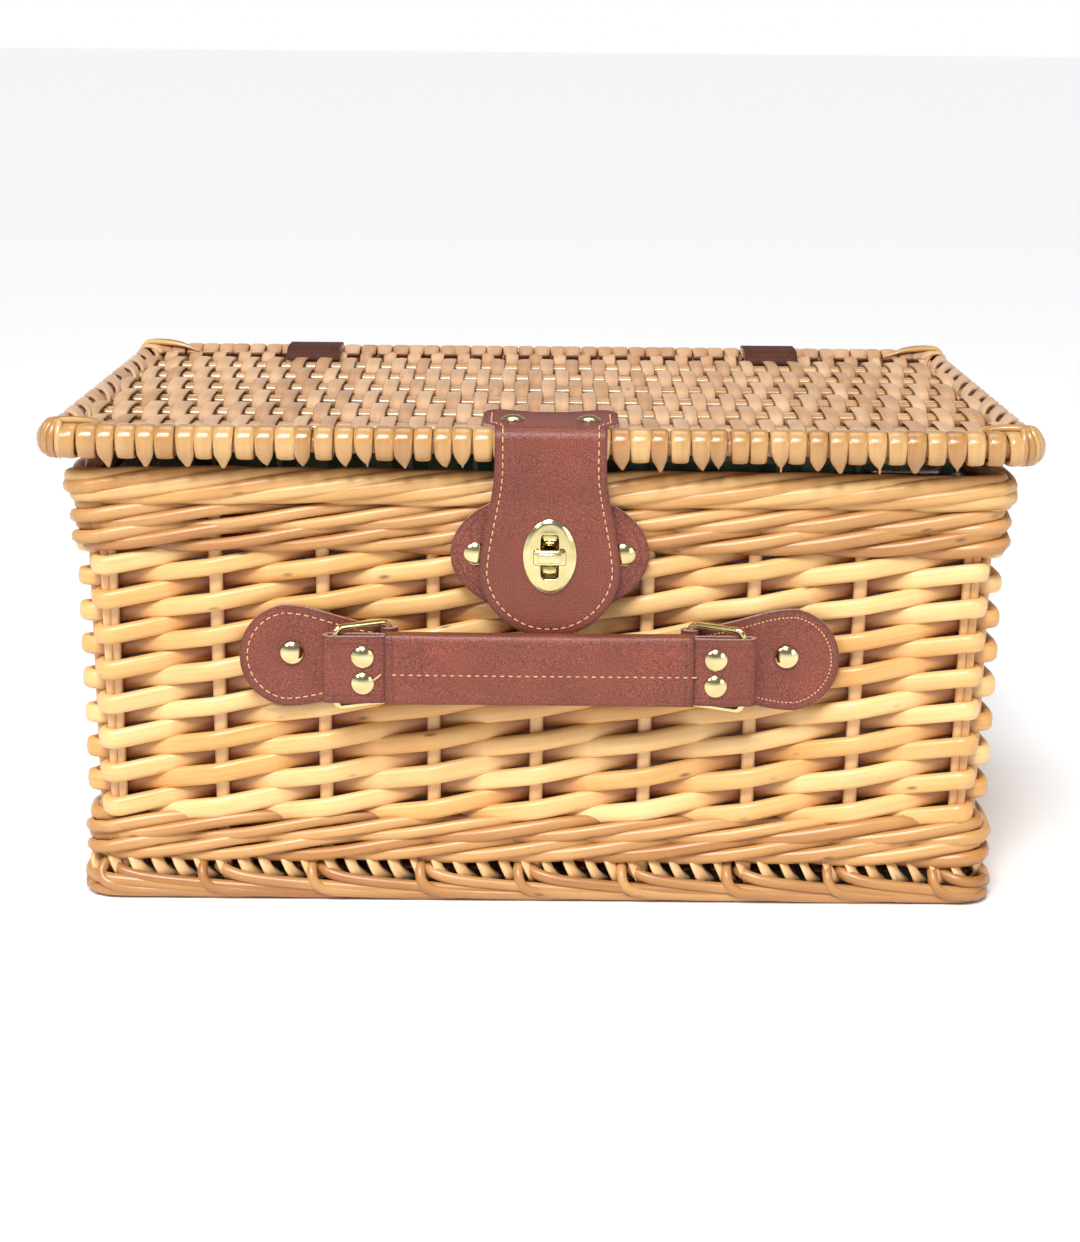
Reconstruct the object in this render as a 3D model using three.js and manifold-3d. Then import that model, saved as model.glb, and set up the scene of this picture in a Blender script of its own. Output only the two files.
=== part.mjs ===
// Lidded willow picnic hamper with leather straps and a brass turn lock.
// Millimetres, +Z up, front at -Y, origin at the centre of the footprint on the floor.
import * as THREE from 'three';
import { mergeVertices } from 'three/addons/utils/BufferGeometryUtils.js';
import Module from 'manifold-3d';

const wasm = await Module();
wasm.setup();

// ---------------------------------------------------------------- driving dimensions

const GAP = 0.3; // between pieces that touch on the real hamper

// Basket body: outer size at the top, the inward lean towards the foot, and the layers.
const BODY_W = 403;
const BODY_D = 267.5;
const BODY_Y = 4.75;
const BODY_H = 192;
const LEAN = 3;
const CORNER_R = 17;
const RIM_T = 15;
const RIM_EASE = 2.5;
const RIM_INNER_R = 6;
const FOOT_TOP = 13;
const BASE_TOP = 18.5;
const LOWER_WALING_TOP = 38;
const WEAVE_TOP = 157;
const UPPER_WALING_TOP = 176;

const WALL_T = 12.5;
const WALL_INSET = 1;
const ROD_PITCH = 7.7;
const RIDGE_DEPTH = 1.4;
const POST_R = 5.2;
const FRONT_POST_IN = 16.5;
const SIDE_POST_IN = 20;

// Lid: a woven panel framed by four bound edges.
const LID_W = 420;
const LID_D = 288;
const LID_Y = 3;
const LID_BOTTOM = 197;
const LID_T = 13;
const LID_EDGE_W = 10;
const LID_STICK_ROWS = 6;
const LID_TOP = LID_BOTTOM + LID_T;

// Lining and insulated compartment.
const LINER_T = 1.5;
const LINER_TOP = 186;
const COOLER_WALL = 7;
const COOLER_LEFT = 6;
const COOLER_RIGHT = 181;
const COOLER_TOP = 188;
const COOLER_FLAP_T = 4;
const SLIDER_X = 165;

// Leather closure strap and turn lock.
const STRAP_X = 4;
const LEATHER_T = 2.2;
const NECK_W = 46.6;
const SHOULDER_W = 57;
const FLAP_R = 30;
const FLAP_BOTTOM = 122;
const STRAP_REACH = 40;
const SHOULDER_LENGTH = 18;
const LOCK_Z = 157;
const PATCH_W = 84;
const PATCH_H = 54;
const PATCH_RIVET_X = 31.3;
const LOCK_BASE_W = 9;
const LOCK_BASE_H = 20;
const LOCK_BASE_T = 1.6;
const WINDOW_W = 12;
const WINDOW_H = 23;
const PLATE_W = 22.5;
const PLATE_H = 33.5;
const SLOT_W = 7.7;
const SLOT_H = 19;
const KNOB_W = 14;
const KNOB_H = 6.6;
const KNOB_T = 3.6;
const STEM_R = 2.5;

// Carrying handle.
const HANDLE_Z = 110;
const TAB_Z = 111.5;
const TAB_R = 22.5;
const TAB_END_X = 105.5;
const TAB_T = 3.2;
const PIVOT_X = 64;
const RING_LENGTH = 25;
const RING_HEIGHT = 34.5;
const WIRE = 2.5;
const RING_ANGLE = THREE.MathUtils.degToRad(30);
const HANDLE_H = 29;
const HANDLE_END_T = 7.8;
const HANDLE_MID_T = 5;
const HANDLE_END_X = 91.4;
const GRIP_W = 130;
const GRIP_H = 31;
const GRIP_T = 10;
const HANDLE_RIVET_X = 74.2;
const HANDLE_RIVET_DZ = 5.7;

// Hinge straps.
const HINGE_X = 117.5;
const HINGE_STRAP_W = 27;
const HINGE_TOP_LENGTH = 31;
const HINGE_DROP = 45;
const HINGE_STRAP_TOP = 193;
const HINGE_RIVET_Z = 205.5;

const RIVET_R = 5;
const RIVET_H = 2;
const SHANK_R = 1.5;

// ---------------------------------------------------------------- derived places

const BODY_FRONT = BODY_Y - BODY_D / 2;
const BODY_BACK = BODY_Y + BODY_D / 2;
const LID_FRONT = LID_Y - LID_D / 2;
const LID_BACK = LID_Y + LID_D / 2;
const LEAN_ANGLE = Math.atan(LEAN / BODY_H);
const WEAVE_H = WEAVE_TOP - LOWER_WALING_TOP - 2 * GAP;
const WEAVE_MID = (WEAVE_TOP + LOWER_WALING_TOP) / 2;
const PATCH_BACK = BODY_FRONT - GAP;
const LOCK_BASE_BACK = PATCH_BACK - LEATHER_T - GAP;
const FLAP_BACK = LOCK_BASE_BACK - 2.1;
const PLATE_BACK = FLAP_BACK - LEATHER_T - GAP;
const PLATE_T = 1.2;
const KNOB_BACK = PLATE_BACK - PLATE_T - GAP;
const TAB_BACK = BODY_FRONT + 1.4;
const BAR_Y = TAB_BACK - 4.2;
const HANDLE_Y = BAR_Y - RING_LENGTH * Math.sin(RING_ANGLE);

// How far the leaning walls have come in at a height.
function leanAt(z) {
  return LEAN * (1 - z / BODY_H);
}

// ---------------------------------------------------------------- finishes

function finish(color, roughness, metalness) {
  return { color, roughness, metalness };
}

const WILLOW = finish(0xd9a15c, 0.45, 0);
const WILLOW_PALE = finish(0xd8b08a, 0.5, 0);
const LEATHER = finish(0x7e463a, 0.5, 0);
const LEATHER_DARK = finish(0x46262a, 0.5, 0);
const BRASS = finish(0xd8c878, 0.2, 1);
const FABRIC = finish(0x2f4a3c, 0.9, 0);
const PADDING = finish(0x8d8f92, 0.7, 0);
const ZIP_METAL = finish(0x9a9a98, 0.35, 1);

// ---------------------------------------------------------------- helpers

const hamper = new THREE.Group();

function addPiece(name, geometry, look, parent = hamper) {
  const mesh = new THREE.Mesh(geometry, new THREE.MeshStandardMaterial(look));
  mesh.name = name;
  parent.add(mesh);
  return mesh;
}

function toSolid(geometry) {
  const bare = geometry.clone();
  bare.deleteAttribute('normal');
  bare.deleteAttribute('uv');
  const merged = mergeVertices(bare, 1e-4);
  const vertProperties = new Float32Array(merged.attributes.position.array);
  const triVerts = new Uint32Array(merged.index.array);
  return new wasm.Manifold(new wasm.Mesh({ numProp: 3, vertProperties, triVerts }));
}

function toGeometry(solid) {
  const { vertProperties, triVerts } = solid.getMesh();
  const geometry = new THREE.BufferGeometry();
  geometry.setAttribute('position', new THREE.BufferAttribute(new Float32Array(vertProperties), 3));
  geometry.setIndex(new THREE.BufferAttribute(new Uint32Array(triVerts), 1));
  return geometry;
}

function cut(geometry, ...tools) {
  return toGeometry(tools.reduce((solid, tool) => solid.subtract(toSolid(tool)), toSolid(geometry)));
}

function join(geometry, ...others) {
  return toGeometry(others.reduce((solid, other) => solid.add(toSolid(other)), toSolid(geometry)));
}

function common(geometry, other) {
  return toGeometry(toSolid(geometry).intersect(toSolid(other)));
}

function extrude(shape, depth, options = {}) {
  return new THREE.ExtrudeGeometry(shape, {
    depth,
    steps: 1,
    curveSegments: 6,
    bevelEnabled: false,
    ...options,
  });
}

// A shape drawn in (y, z) pushed along X, centred on X = 0.
function alongX(shape, length, options) {
  const geometry = extrude(shape, length, options).translate(0, 0, -length / 2);
  const yAxis = new THREE.Vector3(0, 1, 0);
  const zAxis = new THREE.Vector3(0, 0, 1);
  const xAxis = new THREE.Vector3(1, 0, 0);
  return geometry.applyMatrix4(new THREE.Matrix4().makeBasis(yAxis, zAxis, xAxis));
}

// A shape drawn in (x, z) pushed towards the front from the plane y = back.
function towardsFront(shape, back, thickness, options) {
  return extrude(shape, thickness, options).rotateX(Math.PI / 2).translate(0, back, 0);
}

function block(x0, x1, y0, y1, z0, z1) {
  const box = new THREE.BoxGeometry(x1 - x0, y1 - y0, z1 - z0);
  return box.translate((x0 + x1) / 2, (y0 + y1) / 2, (z0 + z1) / 2);
}

function roundedRect(width, height, radius, target = new THREE.Shape()) {
  const x = width / 2;
  const y = height / 2;
  target.moveTo(-x + radius, -y);
  target.lineTo(x - radius, -y);
  target.absarc(x - radius, -y + radius, radius, -Math.PI / 2, 0, false);
  target.lineTo(x, y - radius);
  target.absarc(x - radius, y - radius, radius, 0, Math.PI / 2, false);
  target.lineTo(-x + radius, y);
  target.absarc(-x + radius, y - radius, radius, Math.PI / 2, Math.PI, false);
  target.lineTo(-x, -y + radius);
  target.absarc(-x + radius, -y + radius, radius, Math.PI, 1.5 * Math.PI, false);
  return target;
}

function ellipseShape(width, height, target = new THREE.Shape()) {
  target.absellipse(0, 0, width / 2, height / 2, 0, 2 * Math.PI, false, 0);
  return target;
}

function circleHole(x, y, radius) {
  const hole = new THREE.Path();
  hole.absarc(x, y, radius, 0, 2 * Math.PI, false);
  return hole;
}

// A hoop round the body between two heights, its edges eased.
function hoop(z0, z1, thickness) {
  const ease = RIM_EASE;
  const inset = leanAt((z0 + z1) / 2);
  const width = BODY_W - 2 * inset;
  const depth = BODY_D - 2 * inset;
  const shape = roundedRect(width - 2 * ease, depth - 2 * ease, CORNER_R - ease);
  const inner = 2 * (thickness - ease);
  shape.holes.push(roundedRect(width - inner, depth - inner, RIM_INNER_R, new THREE.Path()));
  const bevel = { bevelEnabled: true, bevelThickness: ease, bevelSize: ease, bevelSegments: 1, curveSegments: 4 };
  const geometry = extrude(shape, z1 - z0 - 2 * ease, bevel);
  return geometry.translate(0, BODY_Y, z0 + ease);
}

// Outline of a wall's section: rows of rods seen from their ends on both faces.
function ridgedSection(height, thickness) {
  const stepsPerRod = 3;
  const rows = Math.round(height / ROD_PITCH);
  const count = rows * stepsPerRod;
  const shape = new THREE.Shape();
  const faceAt = (i) => thickness / 2 - RIDGE_DEPTH * (1 - Math.abs(Math.sin((Math.PI * i) / stepsPerRod)));
  const heightAt = (i) => (height * i) / count - height / 2;
  shape.moveTo(faceAt(0), heightAt(0));
  for (let i = 1; i <= count; i += 1) {
    shape.lineTo(faceAt(i), heightAt(i));
  }
  for (let i = count; i >= 0; i -= 1) {
    shape.lineTo(-faceAt(i), heightAt(i));
  }
  return shape;
}

// A domed rivet: head towards -Y from the plane y = 0, shank running back into the leather.
function rivetGeometry(radius, height, shank, tail) {
  const profile = [];
  const steps = 3;
  for (let i = 0; i <= steps; i += 1) {
    const turn = (i / steps) * (Math.PI / 2);
    profile.push(new THREE.Vector2(radius * Math.sin(turn), height * Math.cos(turn)));
  }
  profile.push(new THREE.Vector2(SHANK_R, 0));
  profile.push(new THREE.Vector2(SHANK_R, -shank));
  if (tail > 0) {
    profile.push(new THREE.Vector2(radius * 0.8, -shank));
    profile.push(new THREE.Vector2(radius * 0.8, -shank - tail));
    profile.push(new THREE.Vector2(0, -shank - tail));
  } else {
    profile.push(new THREE.Vector2(0, -shank));
  }
  return new THREE.LatheGeometry(profile.reverse(), 12).rotateX(Math.PI);
}

function addRivet(name, x, y, z, { radius = RIVET_R, shank = LEATHER_T, tail = 0, up = false } = {}) {
  const rivet = addPiece(name, rivetGeometry(radius, RIVET_H, shank, tail), BRASS);
  rivet.position.set(x, y, z);
  if (up) {
    rivet.rotation.x = -Math.PI / 2;
  }
  return rivet;
}

// ---------------------------------------------------------------- body

function makeBase() {
  const inset = leanAt(0) + 4;
  const shape = roundedRect(BODY_W - 2 * inset, BODY_D - 2 * inset, CORNER_R - 4);
  const thickness = BASE_TOP - FOOT_TOP - 2 * GAP;
  addPiece('base_panel', extrude(shape, thickness).translate(0, BODY_Y, FOOT_TOP + GAP), WILLOW);
}

function makeHoops() {
  addPiece('foot_border', hoop(0, FOOT_TOP, RIM_T), WILLOW);
  addPiece('lower_waling', hoop(BASE_TOP, LOWER_WALING_TOP - GAP, RIM_T), WILLOW);
  addPiece('upper_waling', hoop(WEAVE_TOP, UPPER_WALING_TOP - GAP, RIM_T), WILLOW);
  addPiece('top_border', hoop(UPPER_WALING_TOP, BODY_H, RIM_T), WILLOW);
}

function makeWalls() {
  const section = ridgedSection(WEAVE_H, WALL_T);
  const offset = WALL_INSET + WALL_T / 2 + leanAt(WEAVE_MID);
  const frontLength = BODY_W - 2 * (FRONT_POST_IN + POST_R + leanAt(0) + 1.5);
  const sideLength = BODY_D - 2 * (SIDE_POST_IN + POST_R + leanAt(0) + 1.5);
  for (const [name, side] of [['front_wall_weave', -1], ['back_wall_weave', 1]]) {
    const wall = addPiece(name, alongX(section, frontLength), WILLOW);
    wall.position.set(0, BODY_Y + side * (BODY_D / 2 - offset), WEAVE_MID);
    wall.rotation.x = -side * LEAN_ANGLE;
  }
  for (const [name, side] of [['left_wall_weave', -1], ['right_wall_weave', 1]]) {
    const wall = addPiece(name, alongX(section, sideLength).rotateZ(Math.PI / 2), WILLOW);
    wall.position.set(side * (BODY_W / 2 - offset), BODY_Y, WEAVE_MID);
    wall.rotation.y = side * LEAN_ANGLE;
  }
}

function makeCornerPost(name, x, y, sideX, sideY) {
  const geometry = new THREE.CylinderGeometry(POST_R, POST_R, WEAVE_H - 0.4, 12).rotateX(Math.PI / 2);
  const post = addPiece(name, geometry, WILLOW);
  post.position.set(x, y, WEAVE_MID);
  post.rotation.set(-sideY * LEAN_ANGLE, sideX * LEAN_ANGLE, 0);
}

// Each corner has two posts: one ends the front or back wall, one ends the side wall.
function makeCornerPosts() {
  const flush = WALL_INSET + WALL_T / 2 + leanAt(WEAVE_MID);
  const mid = leanAt(WEAVE_MID);
  for (const [front, sideY] of [['front', -1], ['back', 1]]) {
    for (const [left, sideX] of [['left', -1], ['right', 1]]) {
      const x1 = sideX * (BODY_W / 2 - FRONT_POST_IN - mid);
      const y1 = BODY_Y + sideY * (BODY_D / 2 - flush);
      makeCornerPost(`corner_post_${front}_${left}_inner`, x1, y1, sideX, sideY);
      const x2 = sideX * (BODY_W / 2 - flush);
      const y2 = BODY_Y + sideY * (BODY_D / 2 - SIDE_POST_IN - mid);
      makeCornerPost(`corner_post_${front}_${left}_outer`, x2, y2, sideX, sideY);
    }
  }
}

// ---------------------------------------------------------------- lining and cooler

function tub(width, depth, radius, wall, z0, z1) {
  const outer = extrude(roundedRect(width, depth, radius), z1 - z0).translate(0, 0, z0);
  const hollow = roundedRect(width - 2 * wall, depth - 2 * wall, Math.max(radius - wall, 1));
  return cut(outer, extrude(hollow, z1 - z0).translate(0, 0, z0 + wall));
}

function makeLining() {
  const clear = leanAt(0) + RIM_T + 0.6;
  const width = BODY_W - 2 * clear;
  const depth = BODY_D - 2 * clear;
  const liner = tub(width, depth, 8, LINER_T, BASE_TOP + GAP, LINER_TOP);
  addPiece('fabric_liner', liner.translate(0, BODY_Y, 0), FABRIC);
}

function makeCooler() {
  const clear = leanAt(0) + RIM_T + 0.6 + LINER_T + 0.4;
  const depth = BODY_D - 2 * clear;
  const width = COOLER_RIGHT - COOLER_LEFT;
  const centre = (COOLER_RIGHT + COOLER_LEFT) / 2;
  const bottom = BASE_TOP + GAP + LINER_T + GAP;
  const box = tub(width, depth, 7, COOLER_WALL, bottom, COOLER_TOP);
  addPiece('cooler_box', box.translate(centre, BODY_Y, 0), PADDING);
  const lid = extrude(roundedRect(width - 1, depth - 1, 6.5), COOLER_FLAP_T);
  addPiece('cooler_flap', lid.translate(centre, BODY_Y, COOLER_TOP + 0.4), FABRIC);
  makeZipSlider(BODY_Y - depth / 2);
}

function makeZipSlider(frontFace) {
  const z0 = COOLER_TOP + 0.5;
  const body = block(-4.5, 4.5, frontFace - 4.9, frontFace - 0.2, z0, z0 + 2.8);
  const pull = block(-24, -3, frontFace - 4.4, frontFace - 0.8, z0 + 1.2, z0 + 2.4);
  addPiece('zip_slider', join(body, pull), ZIP_METAL).position.x = SLIDER_X;
}

// ---------------------------------------------------------------- lid

function makeLidPanel() {
  const depth = LID_D - 2 * (LID_EDGE_W + GAP);
  const width = LID_W - 2 * (LID_EDGE_W + GAP);
  const low = 1.5;
  const high = LID_T - 2;
  const wave = 1.2;
  const steps = (LID_STICK_ROWS + 1) * 4;
  const shape = new THREE.Shape();
  shape.moveTo(-depth / 2, low);
  shape.lineTo(depth / 2, low);
  for (let i = 0; i <= steps; i += 1) {
    const turn = (2 * Math.PI * (LID_STICK_ROWS + 1) * i) / steps;
    shape.lineTo(depth / 2 - (depth * i) / steps, high - (wave * (1 + Math.cos(turn))) / 2);
  }
  const panel = addPiece('lid_panel', alongX(shape, width), WILLOW_PALE);
  panel.position.set(0, LID_Y, LID_BOTTOM);
}

// The bound edges: an eased bar along each side of the lid.
function makeLidEdges() {
  const section = roundedRect(LID_EDGE_W, LID_T, 4);
  const options = { curveSegments: 3 };
  const centreY = LID_D / 2 - LID_EDGE_W / 2;
  const centreX = LID_W / 2 - LID_EDGE_W / 2;
  const sideLength = LID_D - 2 * (LID_EDGE_W + GAP);
  for (const [name, side] of [['lid_front_edge', -1], ['lid_back_edge', 1]]) {
    const edge = addPiece(name, alongX(section, LID_W, options), WILLOW);
    edge.position.set(0, LID_Y + side * centreY, LID_BOTTOM + LID_T / 2);
  }
  for (const [name, side] of [['lid_left_edge', -1], ['lid_right_edge', 1]]) {
    const edge = addPiece(name, alongX(section, sideLength, options).rotateZ(Math.PI / 2), WILLOW);
    edge.position.set(side * centreX, LID_Y, LID_BOTTOM + LID_T / 2);
  }
}

// ---------------------------------------------------------------- closure strap and lock

// The half of the strap that lies on the lid: rounded shoulders, then the neck.
function makeStrapTop() {
  const shape = new THREE.Shape();
  const half = SHOULDER_W / 2;
  const neck = NECK_W / 2;
  const back = STRAP_REACH;
  const ear = 7;
  shape.moveTo(-neck, 0);
  shape.lineTo(neck, 0);
  shape.lineTo(neck, back - SHOULDER_LENGTH);
  shape.quadraticCurveTo(half, back - SHOULDER_LENGTH, half, back - ear);
  shape.quadraticCurveTo(half, back, half - ear, back);
  shape.quadraticCurveTo(0, back - 8, -half + ear, back);
  shape.quadraticCurveTo(-half, back, -half, back - ear);
  shape.quadraticCurveTo(-half, back - SHOULDER_LENGTH, -neck, back - SHOULDER_LENGTH);
  const rivetX = 16;
  const rivetY = 20;
  shape.holes.push(circleHole(-rivetX, rivetY, SHANK_R + GAP), circleHole(rivetX, rivetY, SHANK_R + GAP));
  const top = LID_TOP + GAP;
  const strap = addPiece('closure_strap_top', extrude(shape, LEATHER_T, { curveSegments: 4 }), LEATHER);
  strap.position.set(STRAP_X, LID_FRONT, top);
  for (const [name, side] of [['strap_rivet_left', -1], ['strap_rivet_right', 1]]) {
    const place = [STRAP_X + side * rivetX, LID_FRONT + rivetY, top + LEATHER_T + GAP];
    addRivet(name, ...place, { up: true, shank: LEATHER_T });
  }
}

// Front view of the hanging half of the strap.
function flapOutline() {
  const shape = new THREE.Shape();
  const neck = NECK_W / 2;
  const centre = FLAP_BOTTOM + FLAP_R;
  const top = LID_TOP - 0.2;
  shape.moveTo(neck, top);
  shape.lineTo(-neck, top);
  shape.lineTo(-neck, LID_BOTTOM - 8);
  const meet = Math.PI * 0.9;
  shape.quadraticCurveTo(-neck, centre + 22, FLAP_R * Math.cos(meet), centre + FLAP_R * Math.sin(meet));
  shape.absarc(0, centre, FLAP_R, meet, 3 * Math.PI - meet, false);
  shape.quadraticCurveTo(neck, centre + 22, neck, LID_BOTTOM - 8);
  return shape;
}

// Side view: down over the lid's edge, in towards the lock, then straight down.
function flapSection() {
  const outer = LID_FRONT - GAP - LEATHER_T;
  const front = FLAP_BACK - LEATHER_T;
  const bendTop = LID_BOTTOM - 2;
  const bendLow = LOCK_Z + PLATE_H / 2 + 2;
  const shape = new THREE.Shape();
  shape.moveTo(LID_FRONT - GAP, LID_TOP);
  shape.lineTo(outer, LID_TOP);
  shape.lineTo(outer, bendTop);
  shape.lineTo(front, bendLow);
  shape.lineTo(front, FLAP_BOTTOM - 1);
  shape.lineTo(FLAP_BACK, FLAP_BOTTOM - 1);
  shape.lineTo(FLAP_BACK, bendLow);
  shape.lineTo(LID_FRONT - GAP, bendTop);
  return shape;
}

function makeStrapFlap() {
  const sheet = alongX(flapSection(), 2 * SHOULDER_W);
  const outline = towardsFront(flapOutline(), BODY_FRONT, 40, { curveSegments: 12 });
  const window = towardsFront(ellipseShape(WINDOW_W, WINDOW_H), BODY_FRONT, 40).translate(0, 0, LOCK_Z);
  const flap = cut(common(sheet, outline), window);
  addPiece('closure_strap_flap', flap, LEATHER).position.x = STRAP_X;
}

function makeLock() {
  const patch = ellipseShape(PATCH_W, PATCH_H);
  for (const side of [-1, 1]) {
    patch.holes.push(circleHole(side * PATCH_RIVET_X, 0, SHANK_R + GAP));
  }
  const patchPiece = addPiece('lock_patch', towardsFront(patch, PATCH_BACK, LEATHER_T), LEATHER);
  patchPiece.position.set(STRAP_X, 0, LOCK_Z);
  for (const [name, side] of [['patch_rivet_left', -1], ['patch_rivet_right', 1]]) {
    addRivet(name, STRAP_X + side * PATCH_RIVET_X, PATCH_BACK - LEATHER_T - GAP, LOCK_Z);
  }
  const bore = STEM_R + GAP;
  const baseShape = roundedRect(LOCK_BASE_W, LOCK_BASE_H, 3);
  baseShape.holes.push(circleHole(0, 0, bore));
  const base = addPiece('lock_base', towardsFront(baseShape, LOCK_BASE_BACK, LOCK_BASE_T), BRASS);
  base.position.set(STRAP_X, 0, LOCK_Z);
  const plate = ellipseShape(PLATE_W, PLATE_H);
  plate.holes.push(roundedRect(SLOT_W, SLOT_H, 1.2, new THREE.Path()));
  const platePiece = addPiece('slot_plate', towardsFront(plate, PLATE_BACK, PLATE_T, { curveSegments: 5 }), BRASS);
  platePiece.position.set(STRAP_X, 0, LOCK_Z);
}

// The turn knob: a flat bar on a stem, drawn locked, with its bar across the upright slot.
function makeKnob() {
  const bar = towardsFront(roundedRect(KNOB_W, KNOB_H, 2.4), KNOB_BACK, KNOB_T);
  const stemBack = LOCK_BASE_BACK - GAP;
  const stemLength = stemBack - KNOB_BACK + 1;
  const stem = new THREE.CylinderGeometry(STEM_R, STEM_R, stemLength, 16);
  stem.translate(0, stemBack - stemLength / 2, 0);
  addPiece('turn_knob', join(bar, stem), BRASS).position.set(STRAP_X, 0, LOCK_Z);
}

// ---------------------------------------------------------------- handle

// Teardrop of leather with its narrow end rolled round the ring's bar.
function tabGeometry() {
  const tipHalf = 14;
  const meet = 1.21;
  const meetX = -TAB_END_X + TAB_R * Math.cos(meet);
  const shape = new THREE.Shape();
  const tip = PIVOT_X - 2;
  shape.moveTo(-tip, -tipHalf);
  shape.lineTo(-tip, tipHalf);
  shape.quadraticCurveTo(-tip - 16, tipHalf, meetX, TAB_R * Math.sin(meet));
  shape.absarc(-TAB_END_X, 0, TAB_R, meet, 2 * Math.PI - meet, false);
  shape.quadraticCurveTo(-tip - 16, -tipHalf, -tip, -tipHalf);
  const plate = towardsFront(shape, TAB_BACK, TAB_T, { curveSegments: 7 }).translate(0, 0, TAB_Z);
  const roll = new THREE.CylinderGeometry(3.8, 3.8, 2 * tipHalf - 1, 16).rotateX(Math.PI / 2);
  roll.translate(-PIVOT_X, BAR_Y, TAB_Z);
  const barHole = new THREE.CylinderGeometry(1.85, 1.85, 60, 16).rotateX(Math.PI / 2);
  barHole.translate(-PIVOT_X, BAR_Y, TAB_Z);
  const shankHole = new THREE.CylinderGeometry(SHANK_R + GAP, SHANK_R + GAP, 20, 16);
  shankHole.translate(-TAB_END_X, TAB_BACK, TAB_Z + 1.5);
  return cut(join(plate, roll), barHole, shankHole);
}

function mirrored(geometry) {
  const copy = geometry.clone().scale(-1, 1, 1);
  const index = copy.index.array;
  for (let i = 0; i < index.length; i += 3) {
    [index[i], index[i + 1]] = [index[i + 1], index[i]];
  }
  return copy;
}

function makeTabs() {
  const left = tabGeometry();
  addPiece('handle_tab_left', left, LEATHER);
  addPiece('handle_tab_right', mirrored(left), LEATHER);
  for (const [name, side] of [['tab_rivet_left', -1], ['tab_rivet_right', 1]]) {
    addRivet(name, side * TAB_END_X, TAB_BACK - TAB_T - GAP, TAB_Z + 1.5, { shank: TAB_T });
  }
}

// A rectangular wire ring hanging from its pivot bar, pointing away from the grip.
function makeRings() {
  const round = 0.7;
  const trim = 2 * round;
  const shape = roundedRect(RING_LENGTH + WIRE - trim, RING_HEIGHT + WIRE - trim, 2.6);
  const inside = roundedRect(RING_LENGTH - WIRE + trim, RING_HEIGHT - WIRE + trim, 1.4, new THREE.Path());
  shape.holes.push(inside);
  const bevel = { bevelEnabled: true, bevelThickness: round, bevelSize: round, bevelSegments: 1, curveSegments: 3 };
  const wire = towardsFront(shape, WIRE / 2 - round, WIRE - trim, bevel);
  for (const [name, side] of [['ring_left', -1], ['ring_right', 1]]) {
    const ring = addPiece(name, wire.clone().translate((side * RING_LENGTH) / 2, 0, 0), BRASS);
    ring.position.set(side * PIVOT_X, BAR_Y, HANDLE_Z);
    ring.rotation.z = -side * RING_ANGLE;
  }
}

// Seen from above: a long strap, thicker at each end where it folds round the ring's bar.
function strapOutline() {
  const mid = HANDLE_MID_T / 2;
  const end = HANDLE_END_T / 2;
  const step = GRIP_W / 2 + GAP;
  const shape = new THREE.Shape();
  shape.moveTo(-step, -mid);
  shape.lineTo(step, -mid);
  shape.lineTo(step + 2.5, -end);
  shape.absarc(HANDLE_END_X - end, 0, end, -Math.PI / 2, Math.PI / 2, false);
  shape.lineTo(step + 2.5, end);
  shape.lineTo(step, mid);
  shape.lineTo(-step, mid);
  shape.lineTo(-step - 2.5, end);
  shape.absarc(-HANDLE_END_X + end, 0, end, Math.PI / 2, 1.5 * Math.PI, false);
  shape.lineTo(-step - 2.5, -end);
  return shape;
}

function foldHole(side) {
  const half = HANDLE_END_T / 2 - 2;
  const length = 12.4;
  const hole = roundedRect(length, 2 * half, half - 0.05);
  const centre = side * (HANDLE_END_X - 2.3 - length / 2);
  return extrude(hole, HANDLE_H + 4, { curveSegments: 3 }).translate(centre, 0, -HANDLE_H / 2 - 2);
}

function makeHandle() {
  const strap = extrude(strapOutline(), HANDLE_H, { curveSegments: 4 }).translate(0, 0, -HANDLE_H / 2);
  const holes = [foldHole(-1), foldHole(1)];
  for (const side of [-1, 1]) {
    for (const up of [-1, 1]) {
      const hole = new THREE.CylinderGeometry(SHANK_R + 0.2, SHANK_R + 0.2, 20, 12);
      holes.push(hole.translate(side * HANDLE_RIVET_X, 0, up * HANDLE_RIVET_DZ));
    }
  }
  addPiece('handle_strap', cut(strap, ...holes), LEATHER).position.set(0, HANDLE_Y, HANDLE_Z);
  const sleeve = roundedRect(GRIP_T, GRIP_H, 3.5);
  const bore = roundedRect(HANDLE_MID_T + 2 * GAP, HANDLE_H + 2 * GAP, 0.3, new THREE.Path());
  sleeve.holes.push(bore);
  addPiece('handle_grip', alongX(sleeve, GRIP_W, { curveSegments: 3 }), LEATHER).position.set(0, HANDLE_Y, HANDLE_Z);
  for (const [left, side] of [['left', -1], ['right', 1]]) {
    for (const [upper, up] of [['lower', -1], ['upper', 1]]) {
      const front = HANDLE_Y - HANDLE_END_T / 2 - GAP;
      const place = [side * HANDLE_RIVET_X, front, HANDLE_Z + up * HANDLE_RIVET_DZ];
      const options = { radius: 4.8, shank: HANDLE_END_T + 2 * GAP, tail: 1 };
      addRivet(`handle_rivet_${left}_${upper}`, ...place, options);
    }
  }
}

// ---------------------------------------------------------------- hinge straps

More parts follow.
